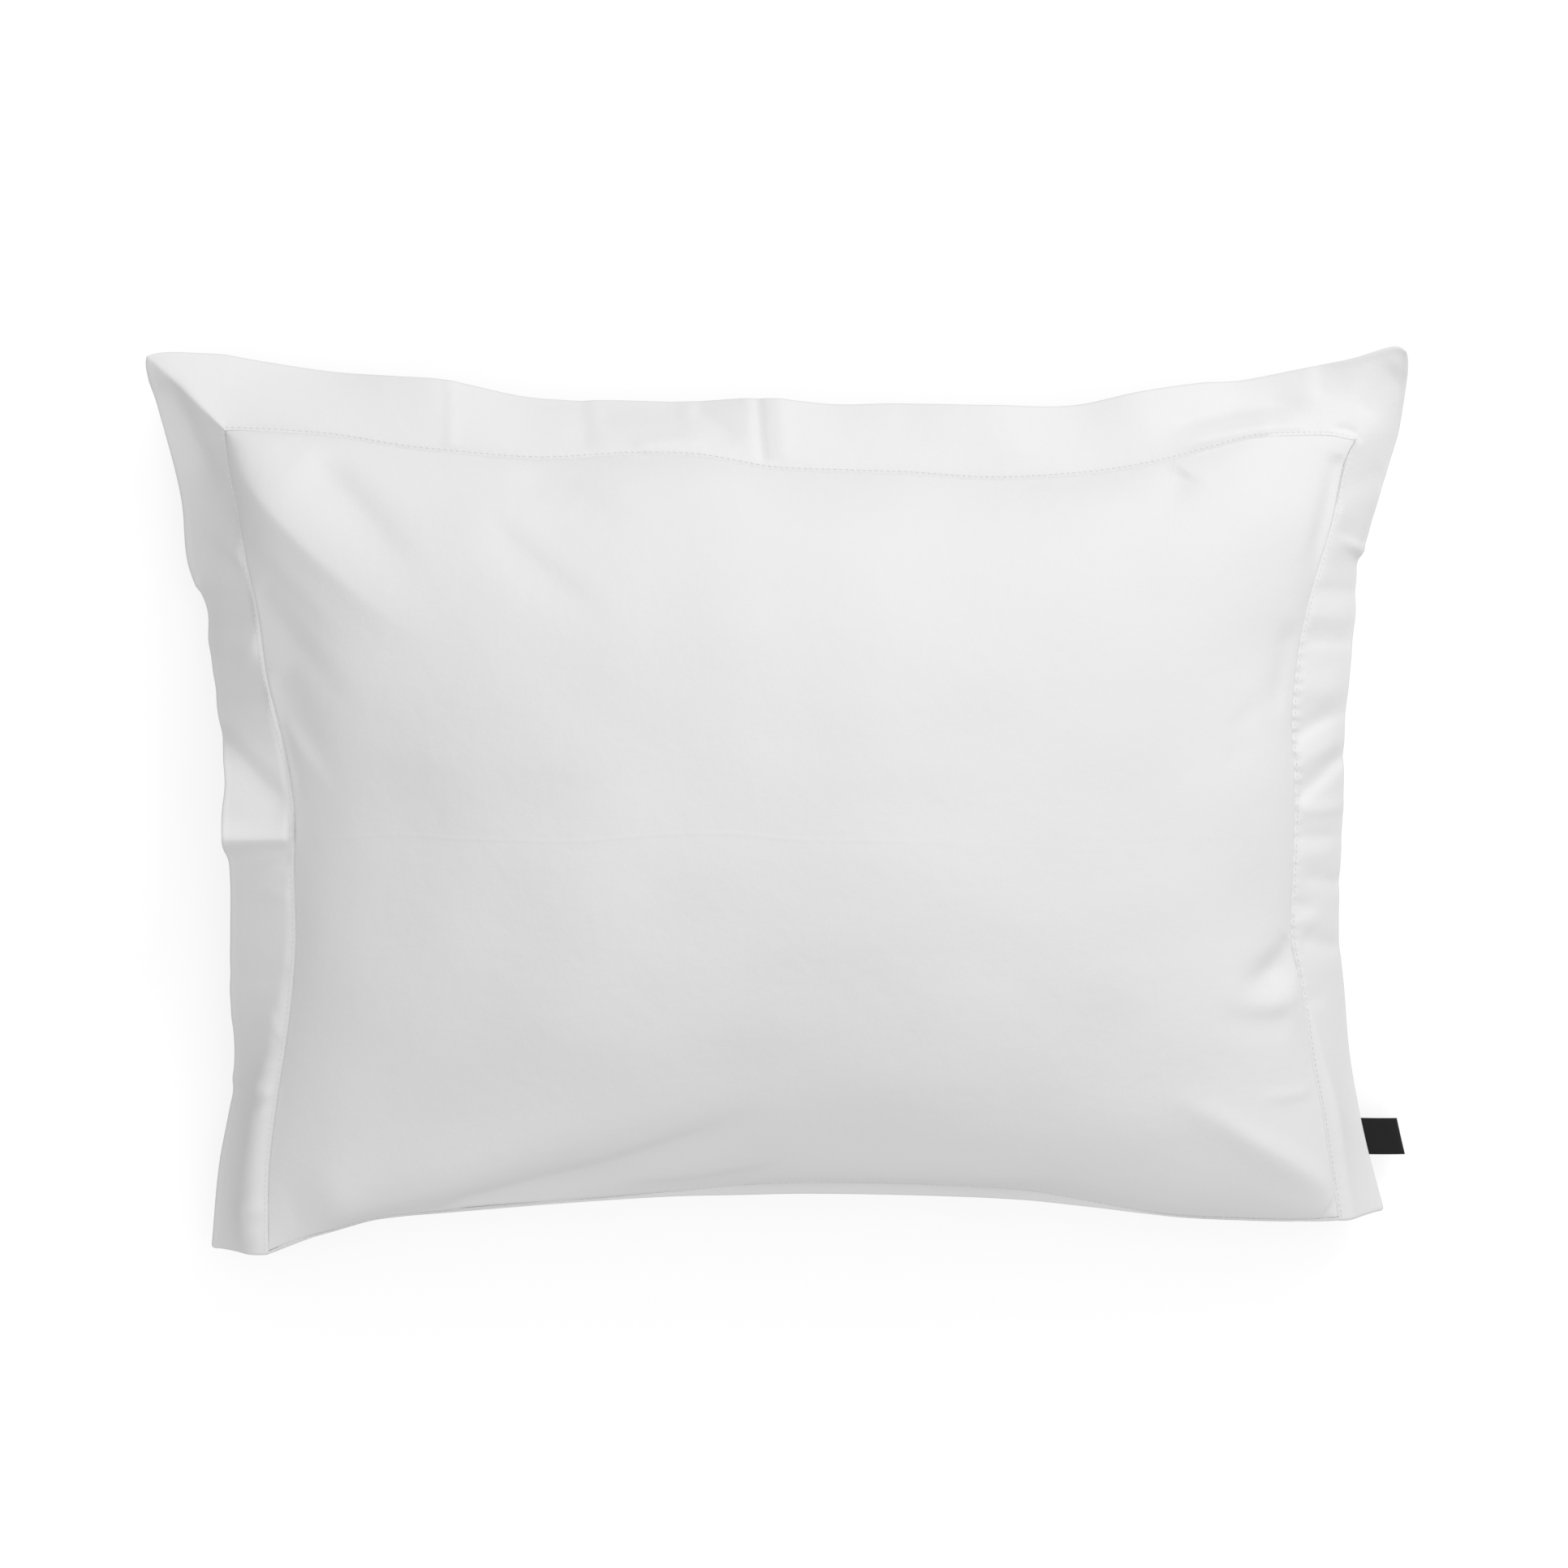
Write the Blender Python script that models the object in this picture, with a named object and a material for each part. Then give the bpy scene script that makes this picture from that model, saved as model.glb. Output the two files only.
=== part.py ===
"""Oxford pillowcase, filled, lying on its back.

Frame: +X runs along the length, to the right as the face is seen, +Y towards
the top edge, +Z out of the face. The underside rests on z = 0.

A cloth rectangle has a seam all round, 50 mm in from its edge. Inside the seam
the two panels are pushed apart by the filling, so the seam is drawn in between
the corners. Outside the seam both plies lie together as a flange. On the top,
left and right it stands out and falls a little. Along the bottom it is turned
back under against the underside. A folded tape tab is caught in the right edge.
"""
import math
from collections import namedtuple

import bmesh
import bpy
from mathutils import Matrix, Vector

MM = 0.001

# ----------------------------------------------------------------- named sizes
FLANGE_WIDTH = 50 * MM      # cloth outside the seam
FLANGE_THICK = 2.4 * MM     # both plies together, with the turned-in hem
SEAM_GAP = 0.9 * MM         # between the filled part and the flange
CROWN = 69 * MM             # swell of the face above the net of the seam
SAG = 112 * MM              # the same below it, were there no surface to rest on
FLAT_EASE = 7 * MM          # how softly the underside meets the surface
SEAM_LIP = 0.16             # share of the flange that is still turning down at the seam
FULLNESS = 2.7              # 2 is an ellipse, more is flatter on top
EDGE_FRONT = 0.47           # steepness beside the seam, face
EDGE_BACK = 0.46            # steepness beside the seam, underside
GATHER = 1.2                # how much closer the mesh lines lie beside the seam

COLUMNS = 40                # cells along the length inside the seam
ROWS = 28                   # cells across the width inside the seam
FLANGE_STEPS = (0.08, 0.30, 0.55, 0.78, 1.0)   # mesh lines across the flange
TURN_CELLS = 4              # cells round the turned-under edge
UNDER_CELLS = 4             # cells along the part that lies underneath

TAB_LENGTH = 27 * MM        # label tab, out from the flange edge
TAB_WIDTH = 24 * MM         # label tab, along the flange edge
TAB_THICK = 1.6 * MM        # tape folded double
TAB_GAP = 1.25 * MM         # from the middle of the flange's edge to the tab
TAB_SHARE = 0.907           # place of the tab's middle down the right side
TAB_SLOPE = 0.30            # fall of the tab per length, where it leaves the edge
TAB_BEND = 4.0              # its further bend, per metre

# ------------------------------------------------------------------ seam corners
# Seam corner (x, y, z) and how far the flange's tip lies from it (dx, dy, dz).
# crisp is 1 where the flange is folded sharply along its mitre, 0 where it is
# one smooth sweep.
Corner = namedtuple("Corner", "x y z dx dy dz crisp")
CORNERS = {
    "top_left": Corner(-346, 250, 54, -49, 47, -10, 0.85),
    "top_right": Corner(349, 243, 56, 36, 60, -4, 0.0),
    "bottom_left": Corner(-329, -245, 47, -33, 0, -37, 0),
    "bottom_right": Corner(339, -247, 50, 38, 0, -33, 0),
}

# ------------------------------------------------------------------- seam sides
# share     place along the side, 0 to 1
# draw_in   how far the seam is pulled in from the line between its corners
# height    of the seam above the surface
# reach     how far the flange's edge stands out in plan; the rest of its width
#           is its fall
# curl      how far the flange turns down from seam to edge, in degrees; less
#           than 0 where the edge flares up again
Side = namedtuple("Side", "share draw_in height reach curl", defaults=(20,))
TOP = [  # left to right
    Side(0.00, 0, 54, 45, 0),
    Side(0.04, 1, 57, 41.3, 10),
    Side(0.095, 4, 60, 39),
    Side(0.148, 10, 64, 42.5),
    Side(0.188, 13, 66, 43.6),
    Side(0.267, 17, 70, 37),
    Side(0.346, 14, 72, 33.2),
    Side(0.405, 15, 73, 33.6),
    Side(0.465, 22, 74, 42.6),
    Side(0.53, 24, 74, 41),
    Side(0.583, 25, 74, 43),
    Side(0.662, 28, 73, 45),
    Side(0.741, 25, 71, 42.2),
    Side(0.801, 19, 68, 44.8),
    Side(0.86, 9, 64, 40.7),
    Side(0.90, 2, 61, 35.5, 10),
    Side(0.949, 0, 58, 40, 0),
    Side(1.00, 0, 56, 48, 0),
]
LEFT = [  # top to bottom
    Side(0.00, 0, 54, 35.5, -20),
    Side(0.05, 2, 56, 32, -20),
    Side(0.09, 5, 58, 32, -20),
    Side(0.16, 9, 62, 34.5, -10),
    Side(0.23, 14, 66, 29.2, 10),
    Side(0.30, 17, 69, 31, 0),
    Side(0.36, 23, 71, 34.5, 10),
    Side(0.395, 26, 72, 37, 20),
    Side(0.425, 28, 72, 37.8, 10),
    Side(0.46, 29, 72, 42, 0),
    Side(0.50, 28, 72, 42, 0),
    Side(0.53, 27, 72, 37.5, 10),
    Side(0.61, 26, 71, 38, 10),
    Side(0.68, 22, 69, 36, 0),
    Side(0.75, 16, 65, 29, -10),
    Side(0.81, 10, 60, 26, -20),
    Side(0.90, 3, 53, 29, -20),
    Side(1.00, 0, 47, 33, -20),
]
RIGHT = [  # top to bottom
    Side(0.00, 0, 56, 32, 0),
    Side(0.03, 8.5, 57, 35.5, 10),
    Side(0.10, 17, 61, 34.5),
    Side(0.135, 22, 63, 35.5),
    Side(0.17, 28, 65, 34.5),
    Side(0.22, 35.5, 68, 39.8),
    Side(0.28, 41, 70, 42),
    Side(0.36, 44, 72, 41.5),
    Side(0.45, 41.4, 73, 39.5),
    Side(0.55, 41.6, 73, 39),
    Side(0.63, 41, 71, 39),
    Side(0.71, 31.3, 67, 36, 10),
    Side(0.79, 23.7, 63, 34, -10),
    Side(0.86, 15.1, 59, 33, -30),
    Side(0.93, 7.6, 54, 35, -24),
    Side(1.00, 0, 50, 38, -10),
]
# Along the bottom, reach is how far the turned edge shows past the seam.
BOTTOM = [  # left to right
    Side(0.00, 0, 47, 3.8),
    Side(0.03, 8.5, 48.5, 3.8),
    Side(0.06, 14.8, 51, 3.8),
    Side(0.10, 22, 54, 3.9),
    Side(0.17, 26.5, 60, 4.2),
    Side(0.27, 31, 66, 4.8),
    Side(0.36, 35, 69.5, 5.4),
    Side(0.43, 36.8, 71.5, 5.8),
    Side(0.49, 37, 72, 6.0),
    Side(0.60, 33.5, 72, 6.0),
    Side(0.69, 27.7, 69, 5.4),
    Side(0.75, 20, 65.5, 4.6),
    Side(0.83, 9.6, 60, 3.8),
    Side(0.91, 4.2, 55, 3.8),
    Side(0.97, 1.2, 51.5, 3.8),
    Side(1.00, 0, 50, 3.8),
]

# ------------------------------------------------------------------------ folds
# A fold of the face runs from (x0, y0) over (x1, y1) to (x2, y2), in mm in plan,
# strongest past its start and dying out at its end. width is across it, height
# is up for a ridge and down for a trough.
Fold = namedtuple("Fold", "name x0 y0 x1 y1 x2 y2 width height")
FOLDS = [
    Fold("corner_ridge", -340, 240, -296, 172, -220, 122, 30, 6),
    Fold("corner_trough", -322, 196, -291, 153, -250, 112, 22, -5),
    Fold("second_ridge", -326, 178, -300, 140, -266, 98, 20, 4),
    Fold("second_trough", -324, 152, -298, 118, -274, 76, 20, -4),
    Fold("third_ridge", -321, 121, -302, 104, -284, 80, 18, 3),
    Fold("third_trough", -318, 105, -303, 88, -288, 54, 18, -3),
    Fold("soft_trough", -310, 240, -266, 186, -220, 128, 34, -4),
    Fold("slant_trough", -198, 194, -166, 164, -128, 132, 24, -3),
    Fold("faint_trough", -186, 228, -134, 212, -94, 160, 26, -2),
    Fold("top_pull", 230, 223, 222, 208, 212, 188, 22, -3),
    Fold("right_groove", 299, 132, 293, 92, 281, 70, 18, -3),
    Fold("right_dimple", 302, -70, 280, -84, 252, -100, 22, -6),
    Fold("right_dimple_rim", 296, -90, 272, -101, 244, -113, 20, 3),
    Fold("lower_right_ridge", 334, -226, 264, -178, 190, -138, 26, 4),
    Fold("lower_left_ridge", -302, -222, -190, -184, -62, -149, 46, 5),
    Fold("lower_left_hollow", -212, -219, -112, -192, -24, -157, 24, -6),
]

# ------------------------------------------------------------------- materials
COTTON = (0.83, 0.83, 0.82, 1.0)
TAPE = (0.012, 0.012, 0.013, 1.0)


# ----------------------------------------------------------------- small helpers
def along(rows, column, share):
    """Read a column of a table at a share of its side, smoothly between rows."""
    share = min(1.0, max(0.0, share))
    last = len(rows) - 1
    i = 0
    while i < last - 1 and share > rows[i + 1].share:
        i += 1
    a, b = rows[i], rows[i + 1]
    before, after = rows[max(0, i - 1)], rows[min(last, i + 2)]
    va, vb = getattr(a, column), getattr(b, column)
    span = b.share - a.share
    ta = (vb - getattr(before, column)) / max(b.share - before.share, 1e-9) * span
    tb = (getattr(after, column) - va) / max(after.share - a.share, 1e-9) * span
    t = (share - a.share) / span
    return ((2 * t ** 3 - 3 * t ** 2 + 1) * va + (t ** 3 - 2 * t ** 2 + t) * ta
            + (3 * t ** 2 - 2 * t ** 3) * vb + (t ** 3 - t ** 2) * tb)


def mix(a, b, t):
    return a + (b - a) * t


def seam_point(side, share):
    """Point of the seam at a share of one side, in metres."""
    ends = {"top": ("top_left", "top_right"), "bottom": ("bottom_left", "bottom_right"),
            "left": ("top_left", "bottom_left"), "right": ("top_right", "bottom_right")}
    inward = {"top": (0, -1), "bottom": (0, 1), "left": (1, 0), "right": (-1, 0)}
    rows = {"top": TOP, "bottom": BOTTOM, "left": LEFT, "right": RIGHT}[side]
    a, b = (CORNERS[n] for n in ends[side])
    d = along(rows, "draw_in", share)
    return Vector((mix(a.x, b.x, share) + inward[side][0] * d,
                   mix(a.y, b.y, share) + inward[side][1] * d,
                   along(rows, "height", share))) * MM


def seam_net(u, v):
    """Surface stretched over the seam loop, u and v from -1 to 1."""
    s, t = (u + 1) / 2, (1 - v) / 2
    top, bottom = seam_point("top", s), seam_point("bottom", s)
    left, right = seam_point("left", t), seam_point("right", t)
    tl, tr = seam_point("top", 0), seam_point("top", 1)
    bl, br = seam_point("bottom", 0), seam_point("bottom", 1)
    return (mix(top, bottom, t) + mix(left, right, s)
            - mix(mix(tl, tr, s), mix(bl, br, s), t))


def fold_height(x, y):
    """Height of all folds of the face at a place in plan, in metres."""
    total = 0.0
    for f in FOLDS:
        best, place = 1e9, 0.0
        steps = 24
        for i in range(steps + 1):
            t = i / steps
            px = (1 - t) ** 2 * f.x0 + 2 * t * (1 - t) * (2 * f.x1 - (f.x0 + f.x2) / 2) + t * t * f.x2
            py = (1 - t) ** 2 * f.y0 + 2 * t * (1 - t) * (2 * f.y1 - (f.y0 + f.y2) / 2) + t * t * f.y2
            d = math.hypot(x / MM - px, y / MM - py)
            if d < best:
                best, place = d, t
        across = math.exp(-(best / (0.5 * f.width)) ** 2)
        total += f.height * MM * across * math.sin(math.pi * min(1.0, 0.12 + 0.88 * place))
    return total


def fullness(t, edge):
    return (1 - min(1.0, abs(t)) ** FULLNESS) ** edge


def face_point(u, v):
    """Point of the front panel."""
    p = seam_net(u, v)
    full = fullness(u, EDGE_FRONT) * fullness(v, EDGE_FRONT)
    p.z += CROWN * full
    p.z += fold_height(p.x, p.y) * min(1.0, 2.2 * full)
    return p


def back_point(u, v):
    """Point of the back panel, flat where it lies on the surface."""
    p = seam_net(u, v)
    z = p.z - SAG * fullness(u, EDGE_BACK) * fullness(v, EDGE_BACK)
    if z < FLAT_EASE:
        z = 0.0 if z <= -FLAT_EASE else (z + FLAT_EASE) ** 2 / (4 * FLAT_EASE)
    p.z = z
    return p


def fall_angle(start, curl, r):
    """Slope of the flange at a share r of its width: level where it leaves the
    seam, then falling."""
    ease = min(1.0, r / SEAM_LIP)
    return (start + curl * r) * ease * ease * (3 - 2 * ease)


def fall_path(rows, share, r):
    """Out and down along the flange at a share r of its width. The slope is
    chosen so that the whole width reaches as far as the table says."""
    reach = min(along(rows, "reach", share) * MM, FLANGE_WIDTH * 0.995)
    curl = math.radians(along(rows, "curl", share))
    steps = 16
    places = [(i + 0.5) / steps for i in range(steps)]
    low, high = -curl, math.pi - max(curl, 0)
    for _ in range(18):
        start = (low + high) / 2
        out = sum(math.cos(fall_angle(start, curl, q)) for q in places) * FLANGE_WIDTH / steps
        low, high = (start, high) if out > reach else (low, start)
    out = sum(math.cos(fall_angle(start, curl, q * r)) for q in places) * r * FLANGE_WIDTH / steps
    down = sum(math.sin(fall_angle(start, curl, q * r)) for q in places) * r * FLANGE_WIDTH / steps
    return out, down


def side_fall(u, t, r):
    """Step from the left or right seam to a point of the flange."""
    out, down = fall_path(LEFT if u < 0 else RIGHT, t, r)
    return Vector((math.copysign(out + SEAM_GAP, u), 0, -down))


def top_fall(u, r):
    """Step from the top seam to a point of the flange."""
    out, down = fall_path(TOP, (u + 1) / 2, r)
    return Vector((0, out + SEAM_GAP, -down))


def flange_point(u, v, ru, rv):
    """Mid-surface of the flange on the top, left and right. ru and rv are how
    far past the seam the point lies, as shares of the flange's width."""
    p = seam_net(u, v)
    t = (1 - v) / 2
    if ru > 0 and rv > 0:
        c = CORNERS["top_left" if u < 0 else "top_right"]
        tip = Vector((c.dx, c.dy, c.dz)) * MM
        swept = (side_fall(u, t, ru) + top_fall(u, rv)
                 + ru * rv * (tip - side_fall(u, t, 1) - top_fall(u, 1)))
        m = min(ru, rv)
        mitred = m * tip + side_fall(u, t, ru - m) + top_fall(u, rv - m)
        return p + mix(swept, mitred, c.crisp)
    if ru > 0 or abs(u) == 1:
        p += side_fall(u, t, ru)
    if rv > 0 or v == 1:
        p += top_fall(u, rv)
    if v == -1:
        p.y -= SEAM_GAP
    return p


def walk_up_back(u, length):
    """Go up the back panel from the bottom seam for a length of cloth. Gives
    the point and the direction that faces away from the filling, longer where
    the panel also slopes sideways."""
    step = 0.004
    v, here, walked = -1.0, back_point(u, -1.0), 0.0
    while True:
        there = back_point(u, v + step)
        stride = math.hypot(there.y - here.y, there.z - here.z)
        if walked + stride >= length:
            t = (length - walked) / stride
            ahead = Vector((0, there.y - here.y, there.z - here.z)).normalized()
            near = back_point(u - math.copysign(0.02, u), v)
            tilt = abs(near.z - here.z) / abs(near.x - here.x)
            room = min(2.0, math.sqrt(1 + tilt ** 2))
            return here.lerp(there, t), Vector((0, ahead.z, -ahead.y)) * room
        v, here, walked = v + step, there, walked + stride


def under_point(u, ru, a, b):
    """Mid-surface past the bottom edge. a runs round the turn, b runs from
    there along the part that lies underneath."""
    radius = along(BOTTOM, "reach", (u + 1) / 2) * MM / 2
    depth = radius * (1 - math.cos(math.pi * a))
    turn = radius * math.sin(math.pi * a)
    length = (FLANGE_WIDTH - math.pi * radius) * b
    if ru == 0:
        p, away = walk_up_back(u, length)
        return p + away * depth + Vector((0, -turn - SEAM_GAP, 0))
    t = 1 - length / (seam_point("top", (u + 1) / 2) - seam_point("bottom", (u + 1) / 2)).length
    step = side_fall(u, t, ru)
    away = Vector((step.z * math.copysign(1, u), 0, -abs(step.x))).normalized()
    return seam_net(u, 1 - 2 * t) + step + away * depth + Vector((0, -turn - SEAM_GAP, 0))


# ------------------------------------------------------------------ filled part
def shares(cells):
    """Plan shares from -1 to 1, closer together beside the seam."""
    return [math.sin(GATHER * (2 * i / cells - 1)) / math.sin(GATHER) for i in range(cells + 1)]


def build_filled_case():
    bm = bmesh.new()
    front, back = {}, {}
    for i, u in enumerate(shares(COLUMNS)):
        for j, v in enumerate(shares(ROWS)):
            front[i, j] = bm.verts.new(face_point(u, v))
            on_seam = i in (0, COLUMNS) or j in (0, ROWS)
            back[i, j] = front[i, j] if on_seam else bm.verts.new(back_point(u, v))
    for i in range(COLUMNS):
        for j in range(ROWS):
            bm.faces.new((front[i, j], front[i + 1, j], front[i + 1, j + 1], front[i, j + 1]))
            bm.faces.new((back[i, j], back[i, j + 1], back[i + 1, j + 1], back[i + 1, j]))
    resting = [f for f in bm.faces if all(w.co.z < 1e-7 for w in f.verts)]
    bmesh.ops.dissolve_faces(bm, faces=resting, use_verts=True)
    return as_object("filled_case", bm)


# ----------------------------------------------------------------------- flange
def build_flange():
    """One closed sheet: the grid of the whole cloth with its inside left out."""
    bm = bmesh.new()
    columns = ([(-1, r) for r in reversed(FLANGE_STEPS)] + [(u, 0) for u in shares(COLUMNS)]
               + [(1, r) for r in FLANGE_STEPS])
    rows = [(1, r) for r in reversed(FLANGE_STEPS)] + [(v, 0) for v in reversed(shares(ROWS))]
    below = ([(k / TURN_CELLS, 0.0) for k in range(1, TURN_CELLS + 1)]
             + [(1.0, k / UNDER_CELLS) for k in range(1, UNDER_CELLS + 1)])
    first_u = first_v = len(FLANGE_STEPS)
    last_u, last_v = first_u + COLUMNS, first_v + ROWS
    verts = {}
    for i, (u, ru) in enumerate(columns):
        for j, (v, rv) in enumerate(rows):
            if not (first_u < i < last_u and first_v < j < last_v):
                verts[i, j] = bm.verts.new(flange_point(u, v, ru, rv))
        for k, (a, b) in enumerate(below):
            verts[i, len(rows) + k] = bm.verts.new(under_point(u, ru, a, b))
    for i in range(len(columns) - 1):
        for j in range(len(rows) + len(below) - 1):
            if first_u <= i < last_u and first_v <= j < last_v:
                continue
            bm.faces.new([verts[c] for c in ((i, j), (i, j + 1), (i + 1, j + 1), (i + 1, j))])
    obj = as_object("flange", bm)
    solid = obj.modifiers.new("both_plies", "SOLIDIFY")
    solid.thickness = FLANGE_THICK
    solid.offset = 0.0
    solid.use_even_offset = False
    return obj


# -------------------------------------------------------------------- label tab
def build_label_tab():
    """Tape folded once, its open end at the flange's edge, its fold outside."""
    bm = bmesh.new()
    cells = 6
    section = []
    for i in range(cells + 1):
        x = TAB_LENGTH * i / cells
        half = TAB_THICK / 2 * (1 if i < cells else 0.45)
        section.append((x + TAB_GAP, -TAB_SLOPE * x - TAB_BEND * x * x, half))
    outline = [(x, z + h) for x, z, h in section] + [(x, z - h) for x, z, h in reversed(section)]
    side_length = (seam_point("right", 0) - seam_point("right", 1)).length
    loops = []
    for k in range(5):
        y = TAB_WIDTH * (0.5 - k / 4)
        share = TAB_SHARE - y / side_length
        edge = seam_net(1, 1 - 2 * share) + side_fall(1, share, 1.0)
        loops.append([bm.verts.new(edge + Vector((x, 0, z))) for x, z in outline])
    n = len(outline)
    for k in range(4):
        for i in range(n):
            j = (i + 1) % n
            bm.faces.new((loops[k][i], loops[k + 1][i], loops[k + 1][j], loops[k][j]))
    bm.faces.new(loops[0])
    bm.faces.new(list(reversed(loops[-1])))
    return as_object("label_tab", bm)


# ---------------------------------------------------------------------- objects
def as_object(name, bm):
    bmesh.ops.recalc_face_normals(bm, faces=bm.faces)
    mesh = bpy.data.meshes.new(name)
    bm.to_mesh(mesh)
    bm.free()
    mesh.shade_smooth()
    obj = bpy.data.objects.new(name, mesh)
    bpy.context.scene.collection.objects.link(obj)
    return obj


def give_material(obj, name, colour, roughness):
    mat = bpy.data.materials.new(name)
    mat.use_nodes = True
    shader = mat.node_tree.nodes["Principled BSDF"]
    shader.inputs["Base Color"].default_value = colour
    shader.inputs["Roughness"].default_value = roughness
    shader.inputs["Metallic"].default_value = 0.0
    obj.data.materials.append(mat)


def centre_on_box(objects):
    """Put the middle of the whole part's box over the origin, underside on 0."""
    bpy.context.view_layer.update()
    graph = bpy.context.evaluated_depsgraph_get()
    points = []
    for obj in objects:
        shown = obj.evaluated_get(graph)
        points += [w.co.copy() for w in shown.data.vertices]
    low = [min(p[i] for p in points) for i in range(3)]
    high = [max(p[i] for p in points) for i in range(3)]
    shift = Matrix.Translation((-(low[0] + high[0]) / 2, -(low[1] + high[1]) / 2, -low[2]))
    for obj in objects:
        obj.data.transform(shift)


def main():
    for obj in list(bpy.data.objects):
        bpy.data.objects.remove(obj)
    case = build_filled_case()
    flange = build_flange()
    tab = build_label_tab()
    give_material(case, "cotton_face", COTTON, 0.75)
    give_material(flange, "cotton_flange", COTTON, 0.75)
    give_material(tab, "black_tape", TAPE, 0.6)
    centre_on_box([case, flange, tab])


main()
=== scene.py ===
import math
from collections import namedtuple

import bpy
import numpy as np
from mathutils import Matrix, Vector


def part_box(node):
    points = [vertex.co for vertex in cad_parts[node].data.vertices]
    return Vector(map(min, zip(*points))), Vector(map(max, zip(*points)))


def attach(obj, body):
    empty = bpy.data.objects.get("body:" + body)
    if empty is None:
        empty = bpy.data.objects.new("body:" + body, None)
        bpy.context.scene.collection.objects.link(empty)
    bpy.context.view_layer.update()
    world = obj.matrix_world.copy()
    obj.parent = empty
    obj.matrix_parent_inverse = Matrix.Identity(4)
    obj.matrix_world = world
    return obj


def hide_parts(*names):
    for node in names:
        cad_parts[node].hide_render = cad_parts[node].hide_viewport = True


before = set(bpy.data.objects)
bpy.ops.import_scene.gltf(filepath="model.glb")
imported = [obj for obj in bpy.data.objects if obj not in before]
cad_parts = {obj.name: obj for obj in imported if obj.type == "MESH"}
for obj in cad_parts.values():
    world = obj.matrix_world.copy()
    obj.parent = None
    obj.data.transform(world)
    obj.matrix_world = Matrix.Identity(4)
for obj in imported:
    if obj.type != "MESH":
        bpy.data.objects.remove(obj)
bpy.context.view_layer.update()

MM = 0.001

# ---------------------------------------------------------------- named sizes
FLANGE_WIDTH = 50 * MM
PLY_THICK = 1.3 * MM         # both plies with the seam allowance between them, at the edge
PLY_FIELD = 0.62             # share of that between the edge and the seam
HEM = 0.925                  # share of the flange's width where the allowance begins
TUCK = 0.9 * MM              # the flange's plies reach this far in under the seam
CROWN = 69 * MM
SAG = 112 * MM
FLAT_EASE = 7 * MM
FULLNESS = 2.7
EDGE_FRONT = 0.47
EDGE_BACK = 0.46
SLOPE_EASE = 0.025
GATHER = 0.9
COLUMNS, ROWS = 320, 240     # cells of the face along and across
FLANGE_CELLS = 30
TURN_CELLS = 8
UNDER_CELLS = 18
CLOTH = (0.70, 0.50)         # cut size of each panel inside the seam

TAB_LENGTH = 27 * MM
TAB_WIDTH = 24 * MM
TAB_THICK = 1.3 * MM
TAB_GAP = 0.2 * MM
TAB_SHARE = 0.905
TAB_SLOPE = 0.30
TAB_BEND = 4.0
TAB_SKEW = 0.10

STITCH_PITCH = 3.6 * MM
STITCH_LENGTH = 2.6 * MM
STITCH_RADIUS = 0.24 * MM

# ------------------------------------------------- seam corners and seam sides
Corner = namedtuple("Corner", "x y z dx dy dz crisp round", defaults=(0.0,))
CORNERS = {
    "top_left": Corner(-346, 250, 54, -49, 47, -14, 0.95, 0.07),
    "top_right": Corner(349, 243, 56, 36, 60, -4, 0.0, 0.12),
    "bottom_left": Corner(-329, -245, 47, -33, 0, -37, 0),
    "bottom_right": Corner(339, -247, 50, 38, 0, -33, 0),
}
# reach: how far out the flange's 50 mm come; curl: how much steeper it gets on
# the way, in degrees; lip: the share of its width over which it leaves level;
# width: of its cloth there, less where small folds at the seam take some up.
# Along the bottom, curl is the slope at which the cloth comes over the seam.
Side = namedtuple("Side", "share draw_in height reach curl lip width", defaults=(20, 0.08, 50))
TOP = [  # left to right
    Side(0.000, 0, 54, 45, 0),
    Side(0.040, 1, 57, 41.3, 10),
    Side(0.095, 4, 60, 39),
    Side(0.148, 10, 64, 42.5),
    Side(0.188, 13, 66, 43.6),
    Side(0.267, 17, 70, 37),
    Side(0.346, 14, 72, 33.2),
    Side(0.405, 15, 73, 33.6),
    Side(0.465, 22, 74, 42.6),
    Side(0.530, 24, 74, 41),
    Side(0.583, 25, 74, 43),
    Side(0.662, 28, 73, 45),
    Side(0.741, 25, 71, 42.2),
    Side(0.801, 19, 68, 44.8),
    Side(0.860, 9, 64, 40.7),
    Side(0.900, 2, 61, 35.5, 10),
    Side(0.949, 0, 58, 40, 0),
    Side(1.000, 0, 56, 48, 0),
]
LEFT = [  # top to bottom
    Side(0.00, 0, 54, 35.5, -35, 0.006),
    Side(0.05, 2, 56, 32, -32, 0.006),
    Side(0.09, 5, 58, 32, -30, 0.006),
    Side(0.16, 9, 62, 34.5, -15, 0.02),
    Side(0.23, 14, 66, 29.2, 10, 0.04),
    Side(0.30, 17, 69, 31, 0, 0.05),
    Side(0.36, 23, 71, 34.5, 10, 0.06, 48),
    Side(0.395, 26, 72, 37, 0, 0.05, 42),
    Side(0.425, 28, 72, 38.4, 0, 0.05, 41),
    Side(0.46, 29, 72, 42, 0, 0.04, 43.5),
    Side(0.50, 28, 72, 42, 0, 0.04, 43),
    Side(0.53, 27, 72, 37.5, 10, 0.10, 47),
    Side(0.61, 26, 71, 38, 10, 0.15),
    Side(0.68, 22, 69, 36, 0, 0.22),
    Side(0.75, 16, 65, 29, -20, 0.34, 48),
    Side(0.81, 10, 60, 26, -38, 0.42, 46),
    Side(0.90, 3, 53, 29, -42, 0.46, 46),
    Side(1.00, 0, 47, 33, -36, 0.44, 47),
]
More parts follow.
